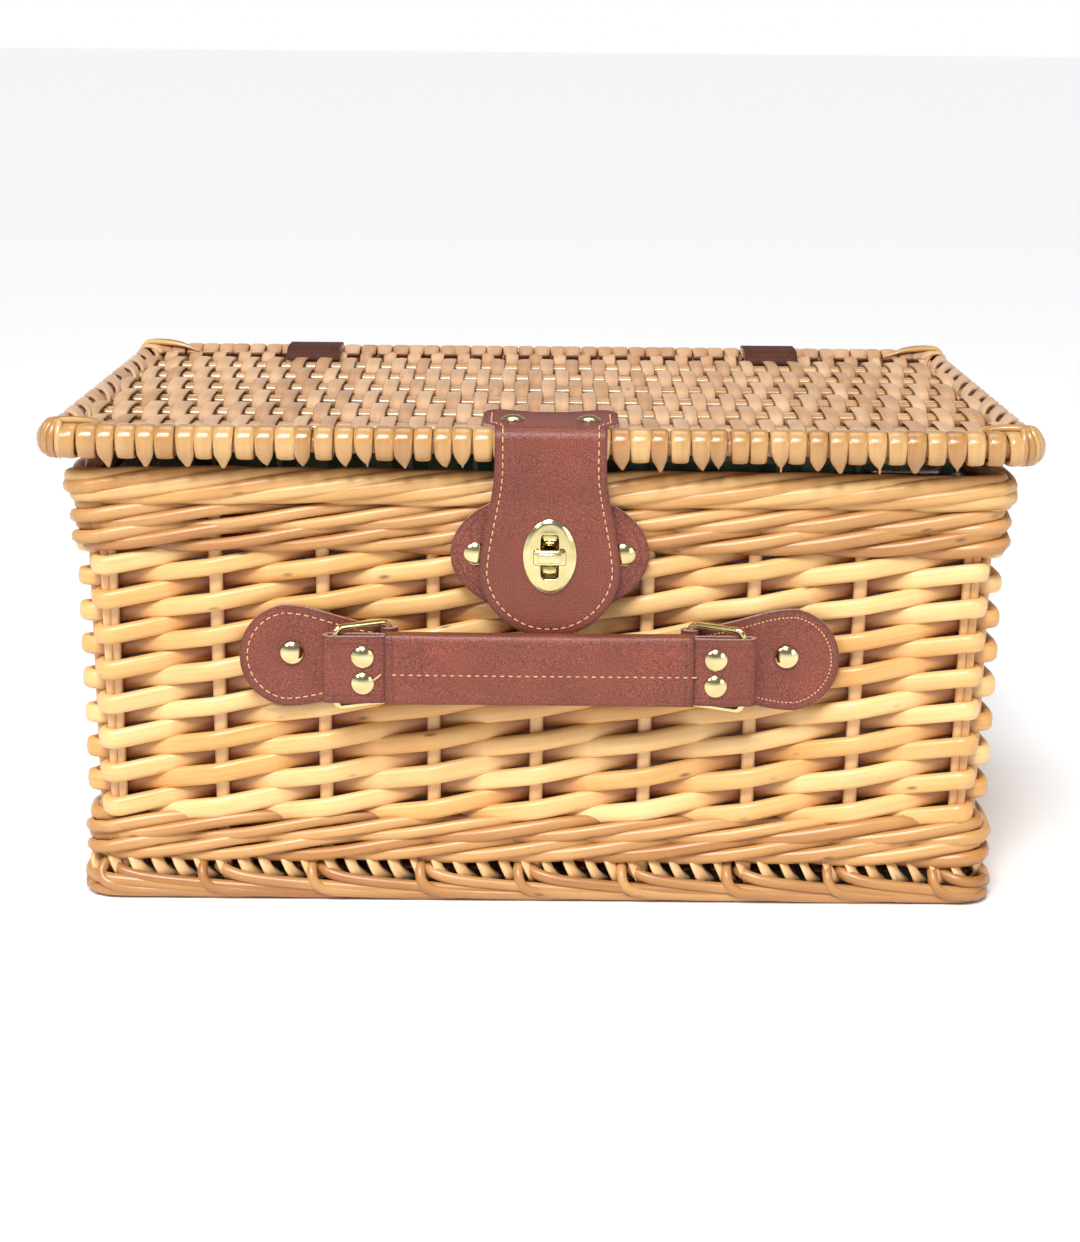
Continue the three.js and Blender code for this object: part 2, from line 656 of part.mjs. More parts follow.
// Each strap has an upper half, over the lid's back edge, and a lower half on the back wall.
function makeHingeStraps() {
  const top = LID_TOP + GAP;
  const back = LID_BACK + GAP;
  const upper = new THREE.Shape();
  upper.moveTo(LID_BACK - HINGE_TOP_LENGTH, top);
  upper.lineTo(back, top);
  upper.lineTo(back, LID_BOTTOM + 2);
  upper.lineTo(back + LEATHER_T, LID_BOTTOM + 2);
  upper.lineTo(back + LEATHER_T, top + LEATHER_T - 1);
  upper.lineTo(back + LEATHER_T - 1, top + LEATHER_T);
  upper.lineTo(LID_BACK - HINGE_TOP_LENGTH, top + LEATHER_T);
  const lowFace = BODY_BACK + GAP;
  for (const [left, side] of [['left', -1], ['right', 1]]) {
    const x = side * HINGE_X;
    const hole = new THREE.CylinderGeometry(SHANK_R + GAP, SHANK_R + GAP, 20, 12);
    const onLid = cut(alongX(upper, HINGE_STRAP_W), hole.translate(0, back, HINGE_RIVET_Z));
    addPiece(`hinge_strap_${left}_upper`, onLid, LEATHER_DARK).position.x = x;
    const z0 = HINGE_STRAP_TOP - HINGE_DROP;
    const half = HINGE_STRAP_W / 2;
    const plain = block(-half, half, lowFace, lowFace + LEATHER_T, z0, HINGE_STRAP_TOP);
    const low = new THREE.CylinderGeometry(SHANK_R + GAP, SHANK_R + GAP, 20, 12).translate(0, lowFace, z0 + 10);
    addPiece(`hinge_strap_${left}_lower`, cut(plain, low), LEATHER_DARK).position.x = x;
    const high = addRivet(`hinge_rivet_${left}_upper`, x, back + LEATHER_T + GAP, HINGE_RIVET_Z);
    high.rotation.x = Math.PI;
    const lower = addRivet(`hinge_rivet_${left}_lower`, x, lowFace + LEATHER_T + GAP, z0 + 10);
    lower.rotation.x = Math.PI;
  }
}

makeBase();
makeHoops();
makeWalls();
makeCornerPosts();
makeLining();
makeCooler();
makeLidPanel();
makeLidEdges();
makeStrapTop();
makeStrapFlap();
makeLock();
makeKnob();
makeTabs();
makeRings();
makeHandle();
makeHingeStraps();

export default hamper;
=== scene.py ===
# %% [markdown]
# # A willow picnic hamper, woven rod by rod
#
# The hamper is a French-rand wicker box with a plaited lid, leather straps and brass fittings.
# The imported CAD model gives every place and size. This script adds what the eye reads: each rod,
# each flat skein of the lid, the leather with its stitches, and the polished brass.

# %% Load the frame
import math
import random

import bmesh
import bpy
import numpy as np
from mathutils import Matrix, Vector


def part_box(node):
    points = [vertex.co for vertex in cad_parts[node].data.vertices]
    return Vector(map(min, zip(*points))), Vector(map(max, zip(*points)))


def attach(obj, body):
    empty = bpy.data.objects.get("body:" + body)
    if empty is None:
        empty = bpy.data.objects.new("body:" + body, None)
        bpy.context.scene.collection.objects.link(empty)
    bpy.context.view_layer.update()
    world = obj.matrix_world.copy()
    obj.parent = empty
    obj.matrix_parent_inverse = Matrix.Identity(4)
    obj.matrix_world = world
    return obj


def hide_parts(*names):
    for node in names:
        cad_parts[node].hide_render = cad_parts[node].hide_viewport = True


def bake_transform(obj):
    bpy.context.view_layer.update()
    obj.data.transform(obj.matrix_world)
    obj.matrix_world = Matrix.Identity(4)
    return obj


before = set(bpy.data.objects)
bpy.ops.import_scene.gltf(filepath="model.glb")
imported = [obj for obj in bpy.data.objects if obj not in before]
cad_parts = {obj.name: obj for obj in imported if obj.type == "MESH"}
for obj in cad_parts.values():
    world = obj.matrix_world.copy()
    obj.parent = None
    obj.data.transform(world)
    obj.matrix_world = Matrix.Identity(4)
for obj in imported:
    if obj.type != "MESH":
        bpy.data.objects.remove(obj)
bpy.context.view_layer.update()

MM = 0.001

# %% [markdown]
# ## Sizes read from the frame
#
# Nothing is placed by eye. Each size below is the box of a CAD node, so the rods land where the
# plain solids are. Two more numbers describe the weave: how far one row rises, and how far apart
# the upright stakes stand.

# %% Named sizes
BORDER_LOW, BORDER_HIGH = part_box("top_border")
WALING_LOW, WALING_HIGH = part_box("upper_waling")
LOWER_LOW, LOWER_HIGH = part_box("lower_waling")
FOOT_LOW, FOOT_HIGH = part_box("foot_border")
BASE_LOW, BASE_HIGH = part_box("base_panel")
WEAVE_LOW, WEAVE_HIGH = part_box("front_wall_weave")
LID_LOW, LID_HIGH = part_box("lid_panel")
EDGE_LOW, EDGE_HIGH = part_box("lid_front_edge")
BACK_EDGE_LOW, BACK_EDGE_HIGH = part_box("lid_back_edge")

BODY_Y = (BORDER_LOW.y + BORDER_HIGH.y) / 2
HALF_W = BORDER_HIGH.x
HALF_D = (BORDER_HIGH.y - BORDER_LOW.y) / 2
BODY_TOP = BORDER_HIGH.z
LEAN = BORDER_HIGH.x - FOOT_HIGH.x
WEAVE_BOTTOM = LOWER_HIGH.z
WEAVE_TOP = WALING_LOW.z
ROW_RISE = 7.68 * MM
print("body", round(HALF_W * 2000), "x", round(HALF_D * 2000), "mm; lean", round(LEAN * 1000, 1))


def lean_in(point):
    """Move a point of the upright box in towards the middle, more near the floor."""
    inward = LEAN * (1 - point.z / BODY_TOP)
    x = point.x * (HALF_W - inward) / HALF_W
    y = BODY_Y + (point.y - BODY_Y) * (HALF_D - inward) / HALF_D
    return Vector((x, y, point.z))


# %% [markdown]
# ## Camera, light and floor
#
# A long lens a metre away, a little above the lid, gives the nearly level catalogue view. Three
# large soft lamps and a bright plain world stand for a white studio.

# %% Camera
IMAGE_ASPECT = 1080 / 1242
SENSOR = 36.0
camera_data = bpy.data.cameras.new("camera")
camera_data.sensor_fit = "VERTICAL"
camera_data.sensor_height = SENSOR
camera_data.sensor_width = SENSOR
camera_data.lens = 73.0
camera = bpy.data.objects.new("camera", camera_data)
CAMERA_TILT = 13.24
CAMERA_ROLL = -0.5
CAMERA_YAW = 0.11
camera.location = (0.0, EDGE_LOW.y - 1.032, 0.373)
camera.rotation_euler = [math.radians(angle) for angle in (90 - CAMERA_TILT, CAMERA_ROLL, CAMERA_YAW)]
bpy.context.scene.collection.objects.link(camera)
bpy.context.scene.camera = camera


# %% Lights and floor
def soft_lamp(name, place, aim, size, watts):
    lamp = bpy.data.lights.new(name, "AREA")
    lamp.shape = "RECTANGLE"
    lamp.size, lamp.size_y = size
    lamp.energy = watts
    holder = bpy.data.objects.new(name, lamp)
    holder.location = place
    direction = Vector(aim) - Vector(place)
    holder.rotation_euler = direction.to_track_quat("-Z", "Y").to_euler()
    bpy.context.scene.collection.objects.link(holder)
    return holder


soft_lamp("key_lamp", (-1.1, -1.25, 1.25), (0, 0, 0.1), (0.45, 0.45), 10)
soft_lamp("fill_lamp", (1.4, -1.3, 0.7), (0, 0, 0.1), (0.7, 0.7), 4)
soft_lamp("top_lamp", (0.0, 0.35, 1.5), (0, 0, 0.15), (0.9, 0.6), 4)


def soft_sun(name, direction, strength, spread):
    sun = bpy.data.lights.new(name, "SUN")
    sun.energy = strength
    sun.angle = math.radians(spread)
    holder = bpy.data.objects.new(name, sun)
    holder.rotation_euler = Vector(direction).to_track_quat("-Z", "Y").to_euler()
    bpy.context.scene.collection.objects.link(holder)


soft_sun("studio_ceiling", (0.12, 0.62, -0.78), 3.25, 24)


def make_world():
    """White near the horizon, greyer overhead, so that domed metal shows a darker crown."""
    world = bpy.data.worlds.new("studio")
    world.use_nodes = True
    tree = world.node_tree
    heading = tree.nodes.new("ShaderNodeTexCoord")
    split = tree.nodes.new("ShaderNodeSeparateXYZ")
    blend = tree.nodes.new("ShaderNodeValToRGB")
    tree.links.new(heading.outputs["Generated"], split.inputs[0])
    tree.links.new(split.outputs["Z"], blend.inputs["Fac"])
    tree.links.new(blend.outputs["Color"], tree.nodes["Background"].inputs["Color"])
    stops = blend.color_ramp.elements
    stops[0].position, stops[0].color = 0.03, (1, 1, 1, 1)
    stops[1].position, stops[1].color = 0.30, (0.20, 0.20, 0.21, 1)
    bpy.context.scene.world = world
    bpy.context.scene.view_settings.view_transform = "Standard"


make_world()


FLOOR_HALF = 40.0


def make_floor():
    bm = bmesh.new()
    bmesh.ops.create_grid(bm, x_segments=2, y_segments=2, size=FLOOR_HALF)
    mesh = bpy.data.meshes.new("floor")
    bm.to_mesh(mesh)
    bm.free()
    floor = bpy.data.objects.new("floor", mesh)
    bpy.context.scene.collection.objects.link(floor)
    material = bpy.data.materials.new("pale_floor")
    material.use_nodes = True
    shader = material.node_tree.nodes["Principled BSDF"]
    shader.inputs["Base Color"].default_value = (0.93, 0.93, 0.93, 1)
    shader.inputs["Roughness"].default_value = 0.9
    mesh.materials.append(material)
    return floor


make_floor()

# %% [markdown]
# ## Rods: one tool for all of the willow
#
# Every rod, skein and thread is a long thin tube that follows a path. A tube could be a bevelled
# curve, but the grain has to run along each rod, so the tube needs its own straightened-out
# coordinates. Here each tube starts as a flat grid, is rolled round its path, and its seam and
# pinched ends are merged. Three attributes stay on the points: `rod_co`, the place on the rod if
# it lay straight; `tone`, one number for the rod; and the painted shade, how far it is tucked
# behind others or turned under, which the material paints in as darker, redder shade.

# %% Rolling tubes
PINCH_RINGS = 2


def path_frames(points, wide):
    """Tangent, wide and thick directions at every point of a path."""
    tangent = np.gradient(points, axis=0)
    tangent /= np.linalg.norm(tangent, axis=1)[:, None] + 1e-12
    wide = np.broadcast_to(np.asarray(wide, float), points.shape)
    wide = wide - (wide * tangent).sum(1)[:, None] * tangent
    wide /= np.linalg.norm(wide, axis=1)[:, None] + 1e-12
    return tangent, wide, np.cross(tangent, wide)


def ring_points(rod, sides):
    """All ring vertices of one rod: an array of rings x sides x 3, and its straight coordinates."""
    points = np.asarray(rod["points"], float)
    count = len(points)
    half_w = np.broadcast_to(np.asarray(rod["half_w"], float), (count,))
    half_t = np.broadcast_to(np.asarray(rod["half_t"], float), (count,))
    tangent, wide, thick = path_frames(points, rod["wide"])
    angle = np.linspace(0, 2 * math.pi, sides + 1)
    power = rod.get("square", 1.0)
    across = np.sign(np.cos(angle)) * np.abs(np.cos(angle)) ** power
    out = np.sign(np.sin(angle)) * np.abs(np.sin(angle)) ** power
    rings = (
        points[:, None, :]
        + wide[:, None, :] * (half_w[:, None] * across)[:, :, None]
        + thick[:, None, :] * (half_t[:, None] * out)[:, :, None]
    )
    steps = np.linalg.norm(np.diff(points, axis=0), axis=1)
    along = np.concatenate([[0], np.cumsum(steps)]) + rod["tone"] * 7.0
    straight = np.zeros_like(rings)
    straight[:, :, 0] = along[:, None]
    straight[:, :, 1] = half_w[:, None] * np.cos(angle)
    straight[:, :, 2] = half_t[:, None] * np.sin(angle)
    # Painted shade per point: how far the rod is tucked in, painted darker and redder by the willow material.
    painted_shade = np.broadcast_to(np.asarray(rod.get("painted_shade", 0.0), float), (count,))
    painted_shade = np.repeat(painted_shade[:, None], sides + 1, axis=1)
    if rod.get("closed"):
        return rings, straight, painted_shade
    return cap_ends(rings, straight, painted_shade, points, tangent, half_t)


def cap_ends(rings, straight, painted_shade, points, tangent, half_t):
    """Add a smaller ring and a pinched ring at each end, so a rod ends in a soft button."""
    def shrink(index, scale, push):
        centre = points[index] + tangent[index] * push
        return centre + (rings[index] - points[index]) * scale

    head = [shrink(0, 0.0, -0.35 * half_t[0]), shrink(0, 0.72, -0.3 * half_t[0])]
    tail = [shrink(-1, 0.72, 0.3 * half_t[-1]), shrink(-1, 0.0, 0.35 * half_t[-1])]
    rings = np.concatenate([np.array(head), rings, np.array(tail)])
    straight = np.concatenate([straight[:1], straight[:1], straight, straight[-1:], straight[-1:]])
    painted_shade = np.concatenate([painted_shade[:1], painted_shade[:1], painted_shade, painted_shade[-1:], painted_shade[-1:]])
    return rings, straight, painted_shade


def roll_tubes(name, rods, sides=10):
    """One mesh object that holds every rod of a list."""
    bm = bmesh.new()
    co_layer = bm.verts.layers.float_vector.new("rod_co")
    tone_layer = bm.verts.layers.float.new("tone")
    # This layer carries the painted shade.
    painted_shade_layer = bm.verts.layers.float.new("painted_shade")
    for rod in rods:
        rings, straight, painted_shade = ring_points(rod, sides)
        if rod.get("closed"):
            rings = np.concatenate([rings, rings[:1]])
            straight = np.concatenate([straight, straight[-1:]])
            painted_shade = np.concatenate([painted_shade, painted_shade[:1]])
        count = len(rings)
        made = bmesh.ops.create_grid(bm, x_segments=sides, y_segments=count - 1, size=1)
        flat_rings = rings.reshape(-1, 3).tolist()
        flat_straight = straight.reshape(-1, 3).tolist()
        flat_painted_shade = painted_shade.reshape(-1).tolist()
        for vert, place, rod_co, depth in zip(made["verts"], flat_rings, flat_straight, flat_painted_shade):
            vert.co = place
            vert[co_layer] = rod_co
            vert[tone_layer] = rod["tone"]
            vert[painted_shade_layer] = depth
    bmesh.ops.remove_doubles(bm, verts=bm.verts, dist=1e-7)
    if bm.calc_volume(signed=True) < 0:
        bmesh.ops.reverse_faces(bm, faces=bm.faces)
    for face in bm.faces:
        face.smooth = True
    mesh = bpy.data.meshes.new(name)
    bm.to_mesh(mesh)
    bm.free()
    piece = bpy.data.objects.new(name, mesh)
    bpy.context.scene.collection.objects.link(piece)
    print(name, len(rods), "rods,", len(mesh.polygons), "faces")
    return piece


def finish_piece(piece, body, slot, material, *nodes):
    """Give a piece its material and body, and hide the CAD nodes that it stands for; the slot is not used."""
    if material is not None:
        piece.data.materials.clear()
        piece.data.materials.append(material)
    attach(piece, body)
    if nodes:
        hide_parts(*nodes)
    return piece

# %% [markdown]
# ## Shader groups
#
# Two effects are shared. `willow_grain` gives fine fibres along a rod, flecks where side shoots
# were, and a slow change of tone. `leather_grain` gives the small pebbles and pale specks of
# coated leather. Each group puts out colours, masks and heights only; the shaders stay in the
# materials.


# %% Node helpers
def new_group(name, inputs, outputs):
    group = bpy.data.node_groups.new(name, "ShaderNodeTree")
    for label, kind, value in inputs:
        socket = group.interface.new_socket(label, in_out="INPUT", socket_type=kind)
        if value is not None:
            socket.default_value = value
    for label, kind in outputs:
        group.interface.new_socket(label, in_out="OUTPUT", socket_type=kind)
    start = group.nodes.new("NodeGroupInput")
    end = group.nodes.new("NodeGroupOutput")
    return group, start, end


def add(tree, kind, inputs=None, **settings):
    """Make a node, set its properties, and fill or link its inputs."""
    node = tree.nodes.new(kind)
    for key, value in settings.items():
        setattr(node, key, value)
    for key, value in (inputs or {}).items():
        if isinstance(value, bpy.types.NodeSocket):
            tree.links.new(value, node.inputs[key])
        else:
            node.inputs[key].default_value = value
    return node


def ramp(tree, factor, stops):
    node = add(tree, "ShaderNodeValToRGB", {"Fac": factor})
    elements = node.color_ramp.elements
    while len(elements) < len(stops):
        elements.new(0.5)
    for element, (position, value) in zip(elements, stops):
        element.position = position
        element.color = value if len(value) == 4 else (*value, 1)
    return node.outputs["Color"]


def mix(tree, factor, first, second, blend="MIX"):
    node = add(tree, "ShaderNodeMix", data_type="RGBA", blend_type=blend)
    for index, value in ((0, factor), (6, first), (7, second)):
        if isinstance(value, bpy.types.NodeSocket):
            tree.links.new(value, node.inputs[index])
        elif index == 0:
            node.inputs[0].default_value = value
        else:
            node.inputs[index].default_value = (*value, 1) if len(value) == 3 else value
    return node.outputs[2]


def math_node(tree, operation, first, second=0.0, third=None):
    node = add(tree, "ShaderNodeMath", operation=operation)
    for index, value in enumerate((first, second, third)):
        if value is None:
            continue
        if isinstance(value, bpy.types.NodeSocket):
            tree.links.new(value, node.inputs[index])
        else:
            node.inputs[index].default_value = value
    return node.outputs[0]


# %% Willow grain group
def make_willow_grain():
    """Fibres, flecks and slow tone, from the rod's straight coordinates."""
    group, start, end = new_group(
        "willow_grain",
        [("Vector", "NodeSocketVector", None), ("Fleck Amount", "NodeSocketFloat", 0.5)],
        [("Fibre", "NodeSocketFloat"), ("Fleck", "NodeSocketFloat"), ("Cloud", "NodeSocketFloat")],
    )
    straight = start.outputs["Vector"]
    stretch = add(group, "ShaderNodeMapping", {"Vector": straight, "Scale": (28, 750, 750)})
    fibre = add(group, "ShaderNodeTexNoise", {"Vector": stretch.outputs[0], "Scale": 1.0, "Detail": 3.0})
    slow = add(group, "ShaderNodeMapping", {"Vector": straight, "Scale": (22, 90, 90)})
    cloud = add(group, "ShaderNodeTexNoise", {"Vector": slow.outputs[0], "Scale": 1.0, "Detail": 2.0})
    spots = add(group, "ShaderNodeMapping", {"Vector": straight, "Scale": (50, 150, 150)})
    cells = add(group, "ShaderNodeTexVoronoi", {"Vector": spots.outputs[0], "Scale": 1.0})
    chance = math_node(group, "GREATER_THAN", cells.outputs["Color"], 0.5)
    spot = ramp(group, cells.outputs["Distance"], [(0.0, (1, 1, 1)), (0.09, (0.55, 0.55, 0.55)), (0.17, (0, 0, 0))])
    fleck = math_node(group, "MULTIPLY", spot, chance)
    fleck = math_node(group, "MULTIPLY", fleck, start.outputs["Fleck Amount"])
    group.links.new(fibre.outputs["Fac"], end.inputs["Fibre"])
    group.links.new(fleck, end.inputs["Fleck"])
    group.links.new(cloud.outputs["Fac"], end.inputs["Cloud"])
    return group


WILLOW_GRAIN = make_willow_grain()


def principled(name):
    material = bpy.data.materials.new(name)
    material.use_nodes = True
    tree = material.node_tree
    return material, tree, tree.nodes["Principled BSDF"]


# %% Willow materials
def willow_material(name, pale, mid, painted_shade_colour, fleck_amount, coat, roughness):
    """Varnished willow: tone by rod, fibres along it, and painted shade, darker and redder where it is tucked in."""
    material, tree, shader = principled(name)
    straight = add(tree, "ShaderNodeAttribute", attribute_name="rod_co").outputs["Vector"]
    tone = add(tree, "ShaderNodeAttribute", attribute_name="tone").outputs["Fac"]
    painted_shade = add(tree, "ShaderNodeAttribute", attribute_name="painted_shade").outputs["Fac"]
    grain = add(tree, "ShaderNodeGroup", node_tree=WILLOW_GRAIN)
    tree.links.new(straight, grain.inputs["Vector"])
    grain.inputs["Fleck Amount"].default_value = fleck_amount
    blend = math_node(tree, "MULTIPLY_ADD", grain.outputs["Cloud"], 0.9, -0.2)
    blend = math_node(tree, "MULTIPLY_ADD", tone, 0.75, blend)
    blend = math_node(tree, "MULTIPLY_ADD", grain.outputs["Fibre"], 0.7, math_node(tree, "SUBTRACT", blend, 0.42))
    colour = mix(tree, blend, pale, mid)
    # Painted shade: the tucked-in amount, plus half of the slow cloud as the rod's own tone, mixes towards the dark red
    # shade colour.
    sunk = math_node(tree, "MULTIPLY_ADD", grain.outputs["Cloud"], 0.5, math_node(tree, "SUBTRACT", painted_shade, 0.25))
    sunk = ramp(tree, sunk, [(0.0, (0, 0, 0)), (1.0, (1, 1, 1))])
    colour = mix(tree, sunk, colour, painted_shade_colour)
    colour = mix(tree, grain.outputs["Fleck"], colour, (0.07, 0.028, 0.012))
    tree.links.new(colour, shader.inputs["Base Color"])
    shader.inputs["Roughness"].default_value = roughness
    shader.inputs["Coat Weight"].default_value = coat
    shader.inputs["Coat Roughness"].default_value = 0.22
    shader.inputs["Specular IOR Level"].default_value = 0.5
    height = math_node(tree, "MULTIPLY_ADD", grain.outputs["Fibre"], 0.6, grain.outputs["Fleck"])
    bump = add(tree, "ShaderNodeBump", {"Height": height, "Strength": 0.35, "Distance": 0.0004})
    tree.links.new(bump.outputs[0], shader.inputs["Normal"])
    return material


# The third colour of each willow is the painted shade colour for tucked-in rods.
WILLOW = willow_material("golden_willow", (0.87, 0.58, 0.25), (0.66, 0.325, 0.085), (0.30, 0.08, 0.02), 0.9, 0.35, 0.42)
ROPE_WILLOW = willow_material("honey_willow", (0.66, 0.36, 0.125), (0.44, 0.185, 0.045), (0.15, 0.038, 0.010), 0.9, 0.35, 0.42)
# The top border's willow is a lighter copy of the honey willow: painted light against the lid's shadow on the border.
LIT_RIM_WILLOW = willow_material("rim_willow_painted_light", (0.82, 0.51, 0.20), (0.60, 0.285, 0.075), (0.20, 0.055, 0.014), 0.9, 0.35, 0.42)
STAKE_WILLOW = willow_material("pale_stake_willow", (0.84, 0.55, 0.27), (0.68, 0.37, 0.14), (0.34, 0.11, 0.035), 0.5, 0.3, 0.42)
SKEIN_WILLOW = willow_material("pink_skein_willow", (0.71, 0.455, 0.26), (0.47, 0.25, 0.12), (0.20, 0.06, 0.02), 0.5, 0.25, 0.45)
BEAD_WILLOW = willow_material("glossy_bead_willow", (0.62, 0.37, 0.135), (0.40, 0.185, 0.05), (0.17, 0.045, 0.012), 0.4, 0.8, 0.28)

# %% [markdown]
# ## Walls: a French rand
#
# One rod starts beside every stake. It goes behind one stake and in front of the next, and climbs
# half a row each time, so all of the rods spiral up the basket together. On every wall the front
# crossings line up in level rows. At a corner a rod keeps its height while it turns round the two
# corner posts, so the rows on the side walls sit half a row higher than those on the front.

# %% Stakes round the body
FRONT_STAKES = 7
SIDE_STAKES = 4
POST_FROM_CORNER = 16.5 * MM
SIDE_POST_FROM_CORNER = 21.0 * MM
WALL_DEPTH = 8.3 * MM
POST_R = 2.9 * MM
WEAVE_OUT = 4.5 * MM
POST_OUT = 5.2 * MM
rng = random.Random(7)


def wall_stakes(start, end, outward, between):
    """Corner post, evenly spaced stakes, corner post, as (place, outward) pairs."""
    made = []
    for i in range(between + 2):
        share = i / (between + 1)
        place = start.lerp(end, share)
        if 0 < i <= between:
            place += (end - start).normalized() * rng.uniform(-1.2, 1.2) * MM
        made.append((place, Vector(outward)))
    return made


def body_walls():
    """The four walls' stakes, anticlockwise from the front left corner, seen from above."""
    x_front = HALF_W - POST_FROM_CORNER
    y_front = HALF_D - WALL_DEPTH
    x_side = HALF_W - WALL_DEPTH
    y_side = HALF_D - SIDE_POST_FROM_CORNER
    at = lambda x, y: Vector((x, BODY_Y + y, 0))
    return [
        wall_stakes(at(-x_front, -y_front), at(x_front, -y_front), (0, -1, 0), FRONT_STAKES),
        wall_stakes(at(x_side, -y_side), at(x_side, y_side), (1, 0, 0), SIDE_STAKES),
        wall_stakes(at(x_front, y_front), at(-x_front, y_front), (0, 1, 0), FRONT_STAKES),
        wall_stakes(at(-x_side, y_side), at(-x_side, -y_side), (-1, 0, 0), SIDE_STAKES),
    ]


WALLS = body_walls()
STAKES = [(wall, place, out) for wall, stakes in enumerate(WALLS) for place, out in stakes]
print("stakes and posts:", len(STAKES))


def ease_zigzag(t):
    """1 at t = 0, -1 at t = 1, straight between, with a small round at each crossing."""
    soft = 0.07
    near = min(t, 1 - t)
    bend = (math.sqrt(near * near + soft * soft) - soft) / (math.sqrt(0.25 + soft * soft) - soft)
    return (1 - bend) if t < 0.5 else -(1 - bend)


# %% Weaving the rods
SAMPLES = (0.0, 0.05, 0.11, 0.2, 0.33, 0.5, 0.67, 0.8, 0.89, 0.95)
TURN_STEPS = 4


def corner_turn(place_a, out_a, place_b, out_b, outside):
    """Points round a pair of corner posts, at one height."""
    points = []
    if outside:
        for i in range(1, TURN_STEPS + 1):
            angle = (math.pi / 2) * i / TURN_STEPS
            points.append((place_a + POST_OUT * (out_a * math.cos(angle) + out_b * math.sin(angle)), 0.0))
        points.append((place_b - POST_OUT * out_b * 0.9, 0.6))
        return points
    points.append((place_a - POST_OUT * out_a * 0.9, 0.8))
    for i in range(0, TURN_STEPS + 1):
        angle = (math.pi / 2) * i / TURN_STEPS
        points.append((place_b + POST_OUT * (out_a * math.cos(angle) + out_b * math.sin(angle)), 0.0))
    return points


def weave_rod(start, levels):
    """Path of the rod that starts at stake number `start` and climbs through `levels` rows."""
    path = []
    level = -1.0
    index = start
    wobble = rng.uniform(-0.35, 0.35) * MM
    while level < levels:
        wall, place, out = STAKES[index % len(STAKES)]
        next_wall, next_place, next_out = STAKES[(index + 1) % len(STAKES)]
        outside = (round(level) + (wall % 2)) % 2 == 0
        sign = 1 if outside else -1
        if next_wall == wall:
            reach = POST_OUT if place in (WALLS[wall][0][0], WALLS[wall][-1][0]) else WEAVE_OUT
            for t in SAMPLES:
                offset = sign * ease_zigzag(t)
                here = place.lerp(next_place, t) + out * reach * offset
                sunk = max(0.0, -offset) ** 0.8
                path.append((here, level + t, sunk))
            level += 1
        else:
            path.append((place + out * POST_OUT * sign, level, 0.0 if outside else 0.8))
            for here, sunk in corner_turn(place, out, next_place, next_out, outside):
                path.append((here, level, sunk))
            path.pop()
        index += 1
    points = []
    painted_shade = []
    for here, height, sunk in path:
        z = WEAVE_BOTTOM + ROW_RISE * (height + 0.5) + wobble
        beyond = max(z - WEAVE_TOP, WEAVE_BOTTOM - z) / (5 * MM)
        tuck = min(1.0, max(0.0, beyond)) * max(0.0, 1 - 3 * sunk)
        x = here.x * (1 - 0.022 * tuck)
        y = BODY_Y + (here.y - BODY_Y) * (1 - 0.033 * tuck)
        points.append(lean_in(Vector((x, y, z))))
        # How far the rod runs behind a stake is also its painted shade, darker and redder in the material.
        painted_shade.append(sunk)
    return points, painted_shade


def make_wall_rods():
    levels = round((WEAVE_TOP - WEAVE_BOTTOM) / ROW_RISE)
    rods = []
    for start in range(len(STAKES)):
        wall, place, out = STAKES[start]
        if place == WALLS[wall][0][0]:
            continue
        points, painted_shade = weave_rod(start, levels)
        size = rng.uniform(0.93, 1.07)
        share = np.linspace(0, 1, len(points))
        rods.append({
            "points": [tuple(p) for p in points],
            "half_w": 4.25 * MM * size * (1.04 - 0.10 * share),
            "half_t": 2.55 * MM * size,
            "wide": (0, 0, 1),
            "square": 0.8,
            "tone": rng.random(),
            "painted_shade": painted_shade,
        })
    piece = roll_tubes("wall_rods", rods, 12)
    return finish_piece(
        piece, "basket", "willow", WILLOW,
        "front_wall_weave", "back_wall_weave", "left_wall_weave", "right_wall_weave",
    )


make_wall_rods()


# %% Stakes and corner posts
def upright(x, y, radius, flat, low, high, outward, tone):
    points = [tuple(lean_in(Vector((x, y, low + (high - low) * i / 8)))) for i in range(9)]
    side = (abs(outward[1]), abs(outward[0]), 0)
    # A little painted shade on every stake.
    return {"points": points, "half_w": radius, "half_t": radius * flat, "wide": side, "square": 0.7,
            "tone": tone, "painted_shade": 0.12}


def make_uprights():
    low, high = FOOT_HIGH.z, BORDER_LOW.z
    stakes, posts = [], []
    for wall, place, out in STAKES:
        ends = (WALLS[wall][0][0], WALLS[wall][-1][0])
        if place not in ends:
            stakes.append(upright(place.x, place.y, 3.0 * MM, 0.75, low, high, out, rng.random()))
            continue
        along = Vector((abs(out.y), abs(out.x), 0)) * 1.75 * MM
        for side in (-1, 1):
            spot = place + along * side
            posts.append(upright(spot.x, spot.y, 1.95 * MM, 1.0, low, high, out, rng.random()))
    finish_piece(roll_tubes("upright_stakes", stakes, 10), "basket", "willow", STAKE_WILLOW)
    names = [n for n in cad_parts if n.startswith("corner_post")]
    finish_piece(roll_tubes("corner_posts", posts, 10), "basket", "willow", STAKE_WILLOW, *names)


make_uprights()

# %% [markdown]
# ## Walings and borders: ropes of rods that go round all four sides
#
# A waling is three rods worked as a rope round the stakes: each passes outside two stakes and
# inside one, and climbs as it goes. Seen from outside it is a row of long rods that rise to the
# right. A helix round the line of the stakes makes the same picture, so one function winds every
# waling and border, with its own number of rods, turn length and thickness.


